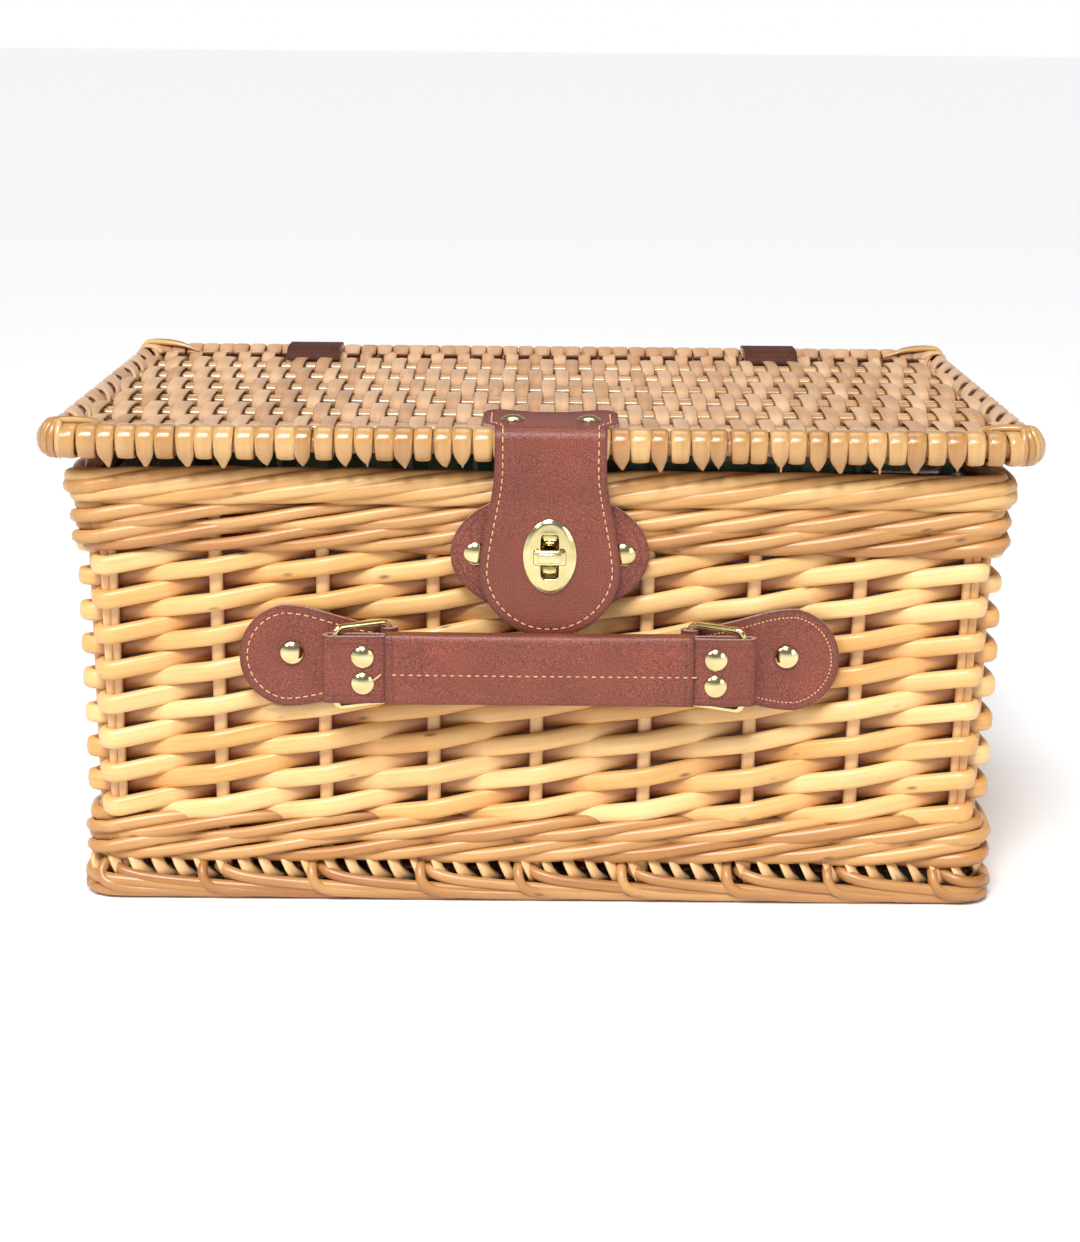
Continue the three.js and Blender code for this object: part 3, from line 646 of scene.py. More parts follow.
# %% Ropes round the body
def hoop_point(s, inset, corner):
    """Place and outward direction at arc length s on a rounded rectangle inside the body."""
    half_w, half_d = HALF_W - inset, HALF_D - inset
    straight_w, straight_d = 2 * (half_w - corner), 2 * (half_d - corner)
    arc = corner * math.pi / 2
    corners = [(1, -1, -90), (1, 1, 0), (-1, 1, 90), (-1, -1, 180)]
    runs = [straight_w, straight_d, straight_w, straight_d]
    heads = [(1, 0), (0, 1), (-1, 0), (0, -1)]
    starts = [
        (-half_w + corner, -half_d), (half_w, -half_d + corner),
        (half_w - corner, half_d), (-half_w, half_d - corner),
    ]
    for run, head, begin, (sx, sy, first) in zip(runs, heads, starts, corners):
        if s <= run:
            out = Vector((head[1], -head[0], 0))
            return Vector((begin[0] + head[0] * s, BODY_Y + begin[1] + head[1] * s, 0)), out
        s -= run
        if s <= arc:
            angle = math.radians(first) + s / corner
            out = Vector((math.cos(angle), math.sin(angle), 0))
            centre = Vector((sx * (half_w - corner), BODY_Y + sy * (half_d - corner), 0))
            return centre + out * corner, out
        s -= arc
    return hoop_point(0, inset, corner)


def hoop_length(inset, corner):
    half_w, half_d = HALF_W - inset, HALF_D - inset
    return 4 * (half_w - corner) + 4 * (half_d - corner) + 2 * math.pi * corner


def rope_strand(height, strand, strands, turns, reach_out, reach_up, inset, corner, step=4.5 * MM):
    length = hoop_length(inset, corner)
    count = int(length / step)
    phase = 2 * math.pi * strand / strands + rng.uniform(-0.12, 0.12)
    points, painted_shade = [], []
    for i in range(count):
        s = length * i / count
        place, out = hoop_point(s, inset, corner)
        angle = 2 * math.pi * turns * i / count + phase
        wander = 0.5 * MM * math.sin(2 * math.pi * i / count * 5 + strand * 2.1)
        z = height + reach_up * math.sin(angle) + wander
        points.append(tuple(lean_in(Vector((place.x, place.y, z)) + out * reach_out * math.cos(angle))))
        # Painted shade on the inner side of each turn, where the strand goes behind the others.
        painted_shade.append(0.12 + max(0.0, 0.25 - math.cos(angle)) * 0.75)
    return points, painted_shade


def make_rope(name, height, strands, turns, reach_out, reach_up, radius, *nodes, inset=6.2 * MM, corner=6 * MM,
              material=None):
    rods = []
    for strand in range(strands):
        points, painted_shade = rope_strand(height, strand, strands, turns, reach_out, reach_up, inset, corner)
        size = rng.uniform(0.94, 1.06) * radius
        swell = 1 + 0.10 * np.sin(np.linspace(0, 2 * math.pi * 7, len(points)) + strand)
        rods.append({
            "points": points, "half_w": size * 1.08 * swell, "half_t": size * 0.86 * swell,
            "wide": (0, 0, 1), "tone": rng.random(), "painted_shade": painted_shade, "closed": True,
        })
    return finish_piece(roll_tubes(name, rods, 9), "basket", "willow", material or ROPE_WILLOW, *nodes)


WALING_TURNS = 9
WALING_STEP = 8.6 * MM
for band, low in (("lower", LOWER_LOW.z), ("upper", WALING_LOW.z)):
    for layer in range(2):
        height = low + 5.0 * MM + layer * WALING_STEP
        nodes = [band + "_waling"] if layer == 0 else []
        make_rope(f"{band}_waling_{layer + 1}", height, 4, WALING_TURNS, 3.9 * MM, 4.0 * MM, 2.75 * MM, *nodes)
# The top border takes the lighter willow, painted light against the lid's shadow.
make_rope("top_border_rope", BORDER_LOW.z + 7.4 * MM, 7, 6, 4.4 * MM, 4.9 * MM, 2.85 * MM, "top_border", inset=4.9 * MM,
          material=LIT_RIM_WILLOW)

# %% [markdown]
# ## Foot border and the bound edge of the base
#
# At the foot each stake is bent down and laid along the bottom in a long slant, so the border is a
# chain of rods that all dive to the right. Above it the edge stick of the base is bound with flat
# skeins, set back in the shade. Both are placed by arc length round the body.


# %% Foot border
def smooth_path(points, per_span=6):
    """Catmull-Rom curve through a few given points."""
    data = np.array([tuple(p) for p in points], float)
    padded = np.concatenate([[2 * data[0] - data[1]], data, [2 * data[-1] - data[-2]]])
    out = []
    for i in range(1, len(padded) - 2):
        p0, p1, p2, p3 = padded[i - 1:i + 3]
        for t in np.arange(per_span) / per_span:
            a = 2 * p1
            b = (p2 - p0) * t
            c = (2 * p0 - 5 * p1 + 4 * p2 - p3) * t * t
            d = (3 * p1 - p0 - 3 * p2 + p3) * t ** 3
            out.append(0.5 * (a + b + c + d))
    out.append(data[-1])
    return np.array(out)


HOOP_INSET = 6.4 * MM
HOOP_CORNER = 7 * MM
HOOP_LENGTH = hoop_length(HOOP_INSET, HOOP_CORNER)


def nearest_s(place):
    steps = 1300
    options = [HOOP_LENGTH * i / steps for i in range(steps)]
    return min(options, key=lambda s: (hoop_point(s, HOOP_INSET, HOOP_CORNER)[0] - place).length)


def along_hoop(s0, stations, per_span=5):
    """Path through (forward, outward, height) stations in millimetres, starting at s0."""
    flat = smooth_path(stations, per_span) * MM
    path = []
    for forward, outward, height in flat:
        place, out = hoop_point((s0 + forward) % HOOP_LENGTH, HOOP_INSET, HOOP_CORNER)
        path.append(tuple(lean_in(Vector((place.x, place.y, height)) + out * outward)))
    return path


FOOT_LONG = [(-5, -1, 14), (1, 3.6, 11.6), (14, 5.2, 9.2), (45, 5.0, 6.3), (80, 4.0, 4.2), (108, 2.6, 3.0), (122, 1.2, 2.6)]
FOOT_BENT = [(-8, -3, 17), (-8.5, 3.2, 13.0), (-7, 6.0, 8.0), (-1, 6.2, 5.0), (12, 5.2, 3.6), (36, 4.4, 2.8), (60, 3.2, 2.5), (74, 0, 2.4)]


def make_foot():
    rods = []
    for wall, place, out in STAKES:
        s0 = nearest_s(place)
        for stations, size in ((FOOT_LONG, 2.75), (FOOT_BENT, 2.6)):
            shift = rng.uniform(-2, 2) * MM
            points = along_hoop(s0 + shift, stations)
            share = np.linspace(0, 1, len(points))
            thick = size * MM * rng.uniform(0.92, 1.06) * (1.05 - 0.25 * share)
            # Painted shade: the whole foot a little darker, and more where each rod comes out from under its stake.
            painted_shade = 0.3 + np.clip(1 - share * 12, 0, 1) * 0.5
            rods.append({"points": points, "half_w": thick, "half_t": thick * 0.9, "wide": (0, 0, 1),
                         "tone": rng.random(), "painted_shade": painted_shade})
    return finish_piece(roll_tubes("foot_border_rods", rods, 9), "basket", "willow", ROPE_WILLOW, "foot_border")


make_foot()


# %% Skein binding on the base edge
BINDING = [(-2, -8, 19.6), (-1, -0.5, 18.4), (0.4, 1.8, 15.4), (2.4, 1.6, 11.6), (4.4, -1.5, 8.2), (5.4, -8, 7.4)]
BINDING_PITCH = 9.6 * MM


def make_base_binding():
    rods = []
    count = round(HOOP_LENGTH / BINDING_PITCH)
    for i in range(count):
        shift = rng.uniform(-0.8, 0.8) * MM
        points = along_hoop(HOOP_LENGTH * i / count + shift, BINDING, 4)
        rods.append({"points": points, "half_w": 3.5 * MM * rng.uniform(0.8, 1.1), "half_t": 0.8 * MM,
                     "wide": (1, 1, 0), "tone": rng.random() * 0.6, "painted_shade": 0.0})
    return finish_piece(roll_tubes("base_edge_binding", rods, 6), "basket", "willow", STAKE_WILLOW)


make_base_binding()

# %% [markdown]
# ## A plaited panel of flat skeins over paired sticks
#
# The lid and the base are made alike. Pairs of round sticks run across, and flat skeins, split and
# shaved from willow, go over one pair and under the next. Neighbouring skeins do the opposite, so
# the top looks like a wall of small soft bricks. One function makes such a panel between any two
# heights.


# %% Panel weave
def panel_rows(low_y, high_y, rows):
    pitch = (high_y - low_y) / (rows + 1)
    return [low_y + pitch * (i + 1) for i in range(rows)], pitch


def panel_sticks(x0, x1, row_y, z, radius):
    rods = []
    for y in row_y:
        for side in (-1, 1):
            shift = rng.uniform(-0.5, 0.5) * MM
            points = [(x0 + (x1 - x0) * i / 40, y + side * radius * 1.12 + shift
                       + 0.35 * MM * math.sin(i * 0.5 + shift * 9000), z) for i in range(41)]
            # A little painted shade on every stick.
            rods.append({"points": points, "half_w": radius * rng.uniform(0.92, 1.05), "half_t": radius,
                         "wide": (0, 1, 0), "tone": rng.random(), "painted_shade": 0.15})
    return rods


def panel_skeins(x0, x1, pitch_x, y0, y1, row_y, pitch_y, z, lift, half_w, half_t):
    count = round((x1 - x0) / pitch_x)
    rods = []
    for i in range(count + 1):
        x = x0 + (x1 - x0) * i / count
        shift = rng.uniform(-0.35, 0.35) * MM
        tilt = rng.uniform(-0.10, 0.10)
        size = rng.uniform(0.92, 1.08)
        wave_phase = rng.uniform(0, 6)
        sign = 1 if i % 2 else -1
        points, painted_shade, widths = [], [], []
        steps = round((y1 - y0) / (2.6 * MM))
        for j in range(steps + 1):
            y = y0 + (y1 - y0) * j / steps
            swing = math.cos(math.pi * (y - row_y[0]) / pitch_y)
            up = sign * math.tanh(2.0 * swing) / math.tanh(2.0)
            sway = 0.4 * MM * math.sin(y * 40 + wave_phase)
            points.append((x + shift + sway, y, z + lift * up))
            # Painted shade where the skein dips down under the sticks.
            painted_shade.append(max(0.0, 0.55 - up) * 0.55)
            widths.append(half_w * size * (1 + 0.07 * up))
        rods.append({"points": points, "half_w": np.array(widths), "half_t": half_t * rng.uniform(0.85, 1.1),
                     "wide": (1, 0, tilt), "square": 0.75, "tone": rng.random(), "painted_shade": painted_shade})
    return rods


# %% Lid panel
LID_MID_Z = (LID_LOW.z + EDGE_HIGH.z) / 2
LID_STICK_R = 2.55 * MM
LID_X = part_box("lid_right_edge")[0].x
LID_Y0 = EDGE_HIGH.y - 5 * MM
LID_Y1 = BACK_EDGE_LOW.y + 5 * MM
LID_ROWS, LID_ROW_PITCH = panel_rows(LID_Y0, LID_Y1, 6)


def make_lid_panel():
    sticks = panel_sticks(-LID_X - 3 * MM, LID_X + 3 * MM, LID_ROWS, LID_MID_Z, LID_STICK_R)
    finish_piece(roll_tubes("lid_sticks", sticks, 10), "lid", "willow", BEAD_WILLOW)
    skeins = panel_skeins(-LID_X + 2 * MM, LID_X - 2 * MM, 6.3 * MM, LID_Y0, LID_Y1, LID_ROWS, LID_ROW_PITCH,
                          LID_MID_Z, 3.5 * MM, 3.25 * MM, 0.8 * MM)
    return finish_piece(roll_tubes("lid_skeins", skeins, 8), "lid", "lid_skein", SKEIN_WILLOW, "lid_panel")


make_lid_panel()


# %% Base panel
def make_base_panel():
    z = (BASE_LOW.z + BASE_HIGH.z) / 2 - 1.6 * MM
    x1, y0, y1 = BASE_HIGH.x - 8 * MM, BASE_LOW.y + 8 * MM, BASE_HIGH.y - 8 * MM
    rows, pitch = panel_rows(y0, y1, 7)
    rods = panel_sticks(-x1, x1, rows, z, 2.0 * MM)
    finish_piece(roll_tubes("base_sticks", rods, 8), "basket", "willow", STAKE_WILLOW)
    skeins = panel_skeins(-x1, x1, 7.6 * MM, y0, y1, rows, pitch, z, 2.6 * MM, 3.7 * MM, 0.7 * MM)
    return finish_piece(roll_tubes("base_skeins", skeins, 6), "basket", "willow", SKEIN_WILLOW, "base_panel")


make_base_panel()

# %% [markdown]
# ## Bound edges of the lid
#
# Front and back, a thick stick is wrapped with broad skeins set close together. About half of them
# are tucked under and the others end in a cut point that hangs below the edge. Along the sides the
# row ends are laid over each other like a chain. Thin rods tie each corner.


# %% Front and back wraps
WRAP_CORNER = 10 * MM


def wrap_path(tail):
    """Section of one wrap in (outward, up) millimetres from the middle of the edge stick."""
    start = [(-9.5, 3.2), (-6.5, 5.0), (-2.5, 6.0), (1.5, 5.7), (4.4, 3.6), (5.4, 0.5), (5.1, -2.8)]
    if tail:
        return start + [(4.5, -5.2), (3.6, -7.2), (3.0, -9.3 + rng.uniform(-0.9, 0.9))]
    return start + [(3.6, -5.3), (0.6, -6.2), (-3.0, -6.0), (-6, -4.6)]


def wrap_place(x, y_mid, out, x_end):
    """Where a wrap stands and which way it faces; the last ones turn round the corner."""
    beyond = max(0.0, abs(x) - (x_end - WRAP_CORNER))
    angle = beyond / WRAP_CORNER
    side = math.copysign(1, x)
    middle = Vector((x, y_mid, LID_MID_Z))
    if beyond:
        middle.x = side * (x_end - WRAP_CORNER + WRAP_CORNER * math.sin(angle))
        middle.y = y_mid - out * WRAP_CORNER * (1 - math.cos(angle))
    return middle, Vector((side * math.sin(angle), out * math.cos(angle), 0))


def edge_wraps(y_mid, out, pitch, x_end):
    rods = []
    count = round(2 * x_end / pitch)
    tail = False
    for i in range(count + 1):
        x = -x_end + 2 * x_end * i / count + rng.uniform(-0.5, 0.5) * MM
        tail = not tail if rng.random() < 0.85 else tail
        hangs = tail and abs(x) < x_end - 22 * MM
        flat = smooth_path([(a, b, 0) for a, b in wrap_path(hangs)], 4)
        count_points = len(flat)
        share = np.linspace(0, 1, count_points)
        width = 4.3 * MM * rng.uniform(0.92, 1.05) * np.ones(count_points)
        width *= 0.88 + 0.12 * np.sin(np.pi * np.clip(share * 1.5, 0, 1))
        slide = rng.uniform(-0.4, 0.4) * MM * share
        if hangs:
            cut = np.clip((share - rng.uniform(0.58, 0.70)) / 0.34, 0, 1)
            slide = slide + width * cut * rng.uniform(0.0, 0.45)
            width = width * (1 - 0.88 * cut ** 1.7)
        middle, facing = wrap_place(x, y_mid, out, x_end)
        along = Vector((0, 0, 1)).cross(facing) * -out
        points = [tuple(middle + facing * a * MM + Vector((0, 0, b * MM)) + along * move)
                  for (a, b, _), move in zip(flat, slide)]
        shade = np.clip(0.5 - share * 3, 0, 0.5) + 0.35 * np.clip(share * 2 - 1.1, 0, 1)
        rods.append({"points": points, "half_w": width, "half_t": 1.15 * MM, "wide": tuple(along),
                     "square": 0.65, "tone": rng.random(), "painted_shade": shade})
    return rods


def edge_stick(y_mid, x_end, radius):
    points = [(-x_end + 2 * x_end * i / 20, y_mid, LID_MID_Z) for i in range(21)]
    # The stick under the wraps carries heavy painted shade.
    return {"points": points, "half_w": radius, "half_t": radius, "wide": (0, 0, 1), "tone": 0.5, "painted_shade": 0.7}


def make_lid_front_and_back():
    x_end = EDGE_HIGH.x - 4.6 * MM
    front = EDGE_LOW.y + 5.6 * MM
    back = BACK_EDGE_HIGH.y - 5.6 * MM
    for name, y_mid, out, node in (("front", front, -1, "lid_front_edge"), ("back", back, 1, "lid_back_edge")):
        stick = [edge_stick(y_mid, x_end - 3 * MM, 4.1 * MM)]
        finish_piece(roll_tubes("lid_" + name + "_stick", stick, 12), "lid", "willow", WILLOW)
        wraps = edge_wraps(y_mid, out, 8.2 * MM, x_end)
        material = BEAD_WILLOW if out < 0 else SKEIN_WILLOW
        finish_piece(roll_tubes("lid_" + name + "_wraps", wraps, 10), "lid", "willow", material, node)


make_lid_front_and_back()


# %% Side chains
def side_chain(side, y0, y1):
    """Flat strands wound round a side stick, each turn leaning back like a link of a chain."""
    x_mid = side * (EDGE_HIGH.x - 5.4 * MM)
    # The stick under the strands carries painted shade.
    rods = [{"points": [(x_mid, y0 + (y1 - y0) * i / 30, LID_MID_Z - 0.5 * MM) for i in range(31)],
             "half_w": 3.0 * MM, "half_t": 3.0 * MM, "wide": (0, 0, 1), "tone": 0.4, "painted_shade": 0.4}]
    turns = 3.6
    for strand in range(3):
        points, painted_shade = [], []
        count = 150
        for i in range(count + 1):
            angle = 2 * math.pi * (turns * i / count + strand / 3)
            up = math.cos(angle)
            out = math.sin(angle)
            place = (x_mid + side * out * 4.6 * MM - side * 1.6 * MM * max(0, -out), y0 + (y1 - y0) * i / count,
                     LID_MID_Z + up * 4.6 * MM)
            points.append(place)
            # Painted shade on the underside of each turn.
            painted_shade.append(0.35 * max(0, -up))
        rods.append({"points": points, "half_w": 3.5 * MM, "half_t": 1.25 * MM, "wide": (0, 1, 0),
                     "tone": rng.random(), "painted_shade": painted_shade})
    return rods


def make_lid_sides():
    y0, y1 = EDGE_LOW.y + 9 * MM, BACK_EDGE_HIGH.y - 9 * MM
    for name, side in (("left", -1), ("right", 1)):
        rods = side_chain(side, y0, y1)
        piece = roll_tubes("lid_" + name + "_chain", rods, 10)
        finish_piece(piece, "lid", "lid_skein", SKEIN_WILLOW, "lid_" + name + "_edge")


make_lid_sides()


# %% Corner ties
TIE_HUB = -10.5
TIE_STRANDS = 5


def corner_tie(side, end):
    """Strands that start in a point on the lid, spread, and go down round the corner."""
    edge_y = EDGE_LOW.y if end < 0 else BACK_EDGE_HIGH.y
    rods = []
    for strand in range(TIE_STRANDS):
        angle = math.radians(8 + 19 * strand)
        route = [(-32 + strand * 1.3, -16 + strand * 0.9, 4.4), (-22, -14.5 + strand * 1.1, 7.4)]
        for reach, up in ((3.0, 8.2), (7.2, 6.6), (9.5, 2.2), (9.4, -2.8), (6.4, -6.2)):
            route.append((TIE_HUB + reach * math.cos(angle), TIE_HUB + reach * math.sin(angle), up))
        points = []
        for inward, back, up in smooth_path(route, 6):
            x = side * (EDGE_HIGH.x + inward * MM)
            points.append((x, edge_y + end * back * MM, LID_MID_Z + up * MM))
        share = np.linspace(0, 1, len(points))
        thick = 1.35 * MM * (0.3 + 0.7 * np.clip(share * 4, 0, 1))
        # Painted shade towards the far end of each strand, where it turns down round the corner.
        rods.append({"points": points, "half_w": thick * 1.15, "half_t": thick, "wide": (-math.sin(angle) * side, end * math.cos(angle), 0),
                     "tone": rng.random(), "painted_shade": 0.25 * np.clip(share * 2 - 1, 0, 1)})
    return rods


def make_corner_ties():
    rods = []
    for side in (-1, 1):
        for end in (-1, 1):
            rods += corner_tie(side, end)
    return finish_piece(roll_tubes("lid_corner_ties", rods, 9), "lid", "willow", BEAD_WILLOW)


make_corner_ties()

# %% [markdown]
# ## Leather
#
# The straps are coated leather with a fine pebble, a burnished line near the cut edge and a row of
# cream stitches. Every leather piece is one flat cut that is bent along a path, so one function
# lays the cut out as a grid, bends it, and gives it its thickness. The distance to the cut edge is
# kept on the points as `edge`, and the material draws the crease from it.


# %% Leather materials
def make_leather_grain():
    group, start, end = new_group(
        "leather_grain", [("Vector", "NodeSocketVector", None)],
        [("Pebble", "NodeSocketFloat"), ("Speckle", "NodeSocketFloat"), ("Cloud", "NodeSocketFloat")],
    )
    place = start.outputs["Vector"]
    pebble = add(group, "ShaderNodeTexVoronoi", {"Vector": place, "Scale": 1900.0}, feature="SMOOTH_F1")
    speckle = add(group, "ShaderNodeTexNoise", {"Vector": place, "Scale": 2300.0, "Detail": 2.0})
    cloud = add(group, "ShaderNodeTexNoise", {"Vector": place, "Scale": 55.0, "Detail": 3.0})
    group.links.new(pebble.outputs["Distance"], end.inputs["Pebble"])
    group.links.new(speckle.outputs["Fac"], end.inputs["Speckle"])
    group.links.new(cloud.outputs["Fac"], end.inputs["Cloud"])
    return group


LEATHER_GRAIN = make_leather_grain()


def leather_material(name, dark, mid, pale, roughness):
    material, tree, shader = principled(name)
    place = add(tree, "ShaderNodeTexCoord").outputs["Object"]
    grain = add(tree, "ShaderNodeGroup", node_tree=LEATHER_GRAIN)
    tree.links.new(place, grain.inputs["Vector"])
    speck = ramp(tree, grain.outputs["Speckle"], [(0.36, dark), (0.5, mid), (0.66, pale)])
    cloud = ramp(tree, grain.outputs["Cloud"], [(0.3, (0.86, 0.86, 0.86)), (0.7, (1.1, 1.06, 1.06))])
    colour = mix(tree, 1.0, speck, cloud, "MULTIPLY")
    edge = add(tree, "ShaderNodeAttribute", attribute_name="edge").outputs["Fac"]
    groove = ramp(tree, math_node(tree, "MULTIPLY", edge, 100.0),
                  [(0.0, (0.55, 0.55, 0.55)), (0.09, (0.80, 0.80, 0.80)), (0.24, (1, 1, 1)), (0.33, (0.72, 0.72, 0.72)),
                   (0.42, (1, 1, 1)), (1.0, (1, 1, 1))])
    colour = mix(tree, 1.0, colour, groove, "MULTIPLY")
    tree.links.new(colour, shader.inputs["Base Color"])
    rough = math_node(tree, "MULTIPLY_ADD", grain.outputs["Speckle"], 0.25, roughness - 0.12)
    tree.links.new(rough, shader.inputs["Roughness"])
    shader.inputs["Specular IOR Level"].default_value = 0.5
    dent = math_node(tree, "MULTIPLY_ADD", groove, 2.0, grain.outputs["Pebble"])
    bump = add(tree, "ShaderNodeBump", {"Height": dent, "Strength": 0.35, "Distance": 0.0004})
    tree.links.new(bump.outputs[0], shader.inputs["Normal"])
    return material


def cut_edge_material(name, colour, dark):
    """The raw edge of the leather: dull, with fine layers."""
    material, tree, shader = principled(name)
    place = add(tree, "ShaderNodeTexCoord").outputs["Object"]
    noise = add(tree, "ShaderNodeTexNoise", {"Vector": place, "Scale": 900.0, "Detail": 3.0})
    tree.links.new(ramp(tree, noise.outputs["Fac"], [(0.35, dark), (0.65, colour)]), shader.inputs["Base Color"])
    shader.inputs["Roughness"].default_value = 0.7
    bump = add(tree, "ShaderNodeBump", {"Height": noise.outputs["Fac"], "Strength": 0.3, "Distance": 0.0003})
    tree.links.new(bump.outputs[0], shader.inputs["Normal"])
    return material


def thread_material():
    material, tree, shader = principled("waxed_thread")
    place = add(tree, "ShaderNodeTexCoord").outputs["Object"]
    noise = add(tree, "ShaderNodeTexNoise", {"Vector": place, "Scale": 2500.0, "Detail": 1.0})
    colour = ramp(tree, noise.outputs["Fac"], [(0.35, (0.52, 0.22, 0.09)), (0.6, (0.80, 0.50, 0.25))])
    tree.links.new(colour, shader.inputs["Base Color"])
    shader.inputs["Roughness"].default_value = 0.55
    return material


LEATHER = leather_material("brown_leather", (0.095, 0.017, 0.009), (0.190, 0.040, 0.022), (0.32, 0.092, 0.058), 0.42)
DARK_LEATHER = leather_material("dark_leather", (0.040, 0.011, 0.006), (0.075, 0.021, 0.012), (0.13, 0.048, 0.030), 0.6)
DARK_LEATHER.node_tree.nodes["Principled BSDF"].inputs["Specular IOR Level"].default_value = 0.15
CUT_EDGE = cut_edge_material("leather_cut_edge", (0.50, 0.33, 0.29), (0.24, 0.12, 0.10))
THREAD = thread_material()


# %% Bending a flat cut
def soften(points, rounds=3):
    """Cut the corners of a path again and again, which leaves a smooth bend."""
    data = np.array(points, float)
    for _ in range(rounds):
        first, second = data[:-1], data[1:]
        inner = np.stack([0.75 * first + 0.25 * second, 0.25 * first + 0.75 * second], axis=1).reshape(-1, 3)
        data = np.concatenate([data[:1], inner[1:-1], data[-1:]])
    return data


class Cut:
    """A flat piece of leather, `length` long, that lies along a path."""

    def __init__(self, path, across, half, lift=None, shape=None):
        self.path = np.array(path, float)
        steps = np.linalg.norm(np.diff(self.path, axis=0), axis=1)
        self.run = np.concatenate([[0], np.cumsum(steps)])
        self.length = self.run[-1]
        self.across = np.array(across, float)
        self.half = half
        self.lift = lift or (lambda u, w: 0.0 * u)
        self.shape = shape or (lambda u, w: u)
        tangent = np.gradient(self.path, axis=0)
        self.tangent = tangent / np.linalg.norm(tangent, axis=1)[:, None]

    def place(self, u, w, proud=0.0):
        """Bend flat coordinates (u along, w across) on to the path, `proud` above the middle."""
        u, w = np.asarray(u, float), np.asarray(w, float)
        u = self.shape(u, w)
        point = np.stack([np.interp(u, self.run, self.path[:, k]) for k in range(3)], axis=-1)
        tangent = np.stack([np.interp(u, self.run, self.tangent[:, k]) for k in range(3)], axis=-1)
        normal = np.cross(tangent, self.across)
        normal /= np.linalg.norm(normal, axis=-1)[..., None] + 1e-12
        return point + self.across * w[..., None] + normal * (self.lift(u, w) + proud)[..., None]

    def outline(self, count=260):
        """The cut's outline as flat (u, w) points, up one side and down the other."""
        turn = (1 - np.cos(np.linspace(0, math.pi, count))) / 2
        u = turn * self.length
        w = self.half(u)
        side = np.stack([u, w], axis=1)
        other = np.stack([u[::-1], -w[::-1]], axis=1)
        return np.concatenate([side, other])


def outline_distance(points, outline):
    """Shortest distance of flat points to the outline."""
    a = outline
    b = np.roll(outline, -1, axis=0)
    ab = b - a
    ap = points[:, None, :] - a[None]
    t = np.clip((ap * ab).sum(-1) / ((ab * ab).sum(-1) + 1e-18), 0, 1)
    gap = ap - t[..., None] * ab
    return np.sqrt((gap ** 2).sum(-1)).min(axis=1)


def make_leather(name, cut, thickness, rows, columns, holes=()):
    """Grid of the cut, bent, with thickness and eased edges."""
    bm = bmesh.new()
    edge_layer = bm.verts.layers.float.new("edge")
    made = bmesh.ops.create_grid(bm, x_segments=columns, y_segments=rows, size=1)
    turn = (1 - np.cos(np.linspace(0, math.pi, rows + 1))) / 2
    even = np.linspace(0, 1, rows + 1)
    u = np.repeat(((turn * 0.6 + even * 0.4) * cut.length)[:, None], columns + 1, axis=1)
    w = cut.half(u) * np.linspace(-1, 1, columns + 1)[None, :]
    flat = np.stack([u.ravel(), w.ravel()], axis=1)
    distance = np.concatenate([outline_distance(part, cut.outline()) for part in np.array_split(flat, 8)])
    places = cut.place(flat[:, 0], flat[:, 1])
    for vert, place, gap in zip(made["verts"], places.tolist(), distance.tolist()):
        vert.co = place
        vert[edge_layer] = gap
    if len(holes):
        opened = []
        for face in bm.faces:
            centre = face.calc_center_median()
            if any((centre - Vector(middle)).length < reach for middle, reach in holes):
                opened.append(face)
        bmesh.ops.delete(bm, geom=opened, context="FACES")
    bmesh.ops.remove_doubles(bm, verts=bm.verts, dist=1e-6)
    for face in bm.faces:
        face.smooth = True
    mesh = bpy.data.meshes.new(name)
    bm.to_mesh(mesh)
    bm.free()
    piece = bpy.data.objects.new(name, mesh)
    bpy.context.scene.collection.objects.link(piece)
    solid = piece.modifiers.new("thickness", "SOLIDIFY")
    solid.thickness = thickness
    solid.offset = 0
    solid.use_even_offset = True
    solid.material_offset_rim = 1
    bevel = piece.modifiers.new("eased_edge", "BEVEL")
    bevel.width = 0.35 * MM
    bevel.segments = 2
    bevel.limit_method = "ANGLE"
    bevel.angle_limit = math.radians(50)
    print(name, "length", round(cut.length * 1000, 1), "mm,", len(mesh.polygons), "faces")
    return piece


def dress_leather(piece, material, body, slot, *nodes):
    piece.data.materials.clear()
    piece.data.materials.append(material)
    piece.data.materials.append(CUT_EDGE)
    if body:
        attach(piece, body)
    if nodes:
        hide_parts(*nodes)
    return piece


# %% Stitching
STITCH = 2.5 * MM
STITCH_PITCH = 3.5 * MM
STITCH_INSET = 3.4 * MM


def inset_line(outline, inset):
    """Outline moved in by `inset`, as an open run of flat points."""
    ahead = np.roll(outline, -1, axis=0) - np.roll(outline, 1, axis=0)
    ahead /= np.linalg.norm(ahead, axis=1)[:, None] + 1e-12
    normal = np.stack([ahead[:, 1], -ahead[:, 0]], axis=1)
    moved = outline + normal * inset
    keep = outline_distance(moved, outline) > inset * 0.96
    return moved[keep]


def stitches(cut, line, proud, thickness=0.29 * MM):
    """Short threads along a flat line, each dipping into the leather at both ends."""
    steps = np.linalg.norm(np.diff(line, axis=0), axis=1)
    run = np.concatenate([[0], np.cumsum(steps)])
    rods = []
    s = 0.5 * STITCH_PITCH
    while s + STITCH < run[-1]:
        spots = s + STITCH * np.array([0, 0.2, 0.5, 0.8, 1.0])
        u = np.interp(spots, run, line[:, 0])
        w = np.interp(spots, run, line[:, 1])
        lifts = proud + np.array([-0.35, 0.1, 0.25, 0.1, -0.35]) * MM
        points = cut.place(u, w, lifts)
        ahead = points[-1] - points[0]
        if np.linalg.norm(ahead) < 1.6 * STITCH:
            side = np.cross(ahead, cut.place(u[2:3], w[2:3], proud + 0.001)[0] - points[2])
            rods.append({"points": points, "half_w": thickness * 1.15, "half_t": thickness * 0.8, "wide": side,
                         "tone": rng.random()})
        s += STITCH_PITCH
    return rods
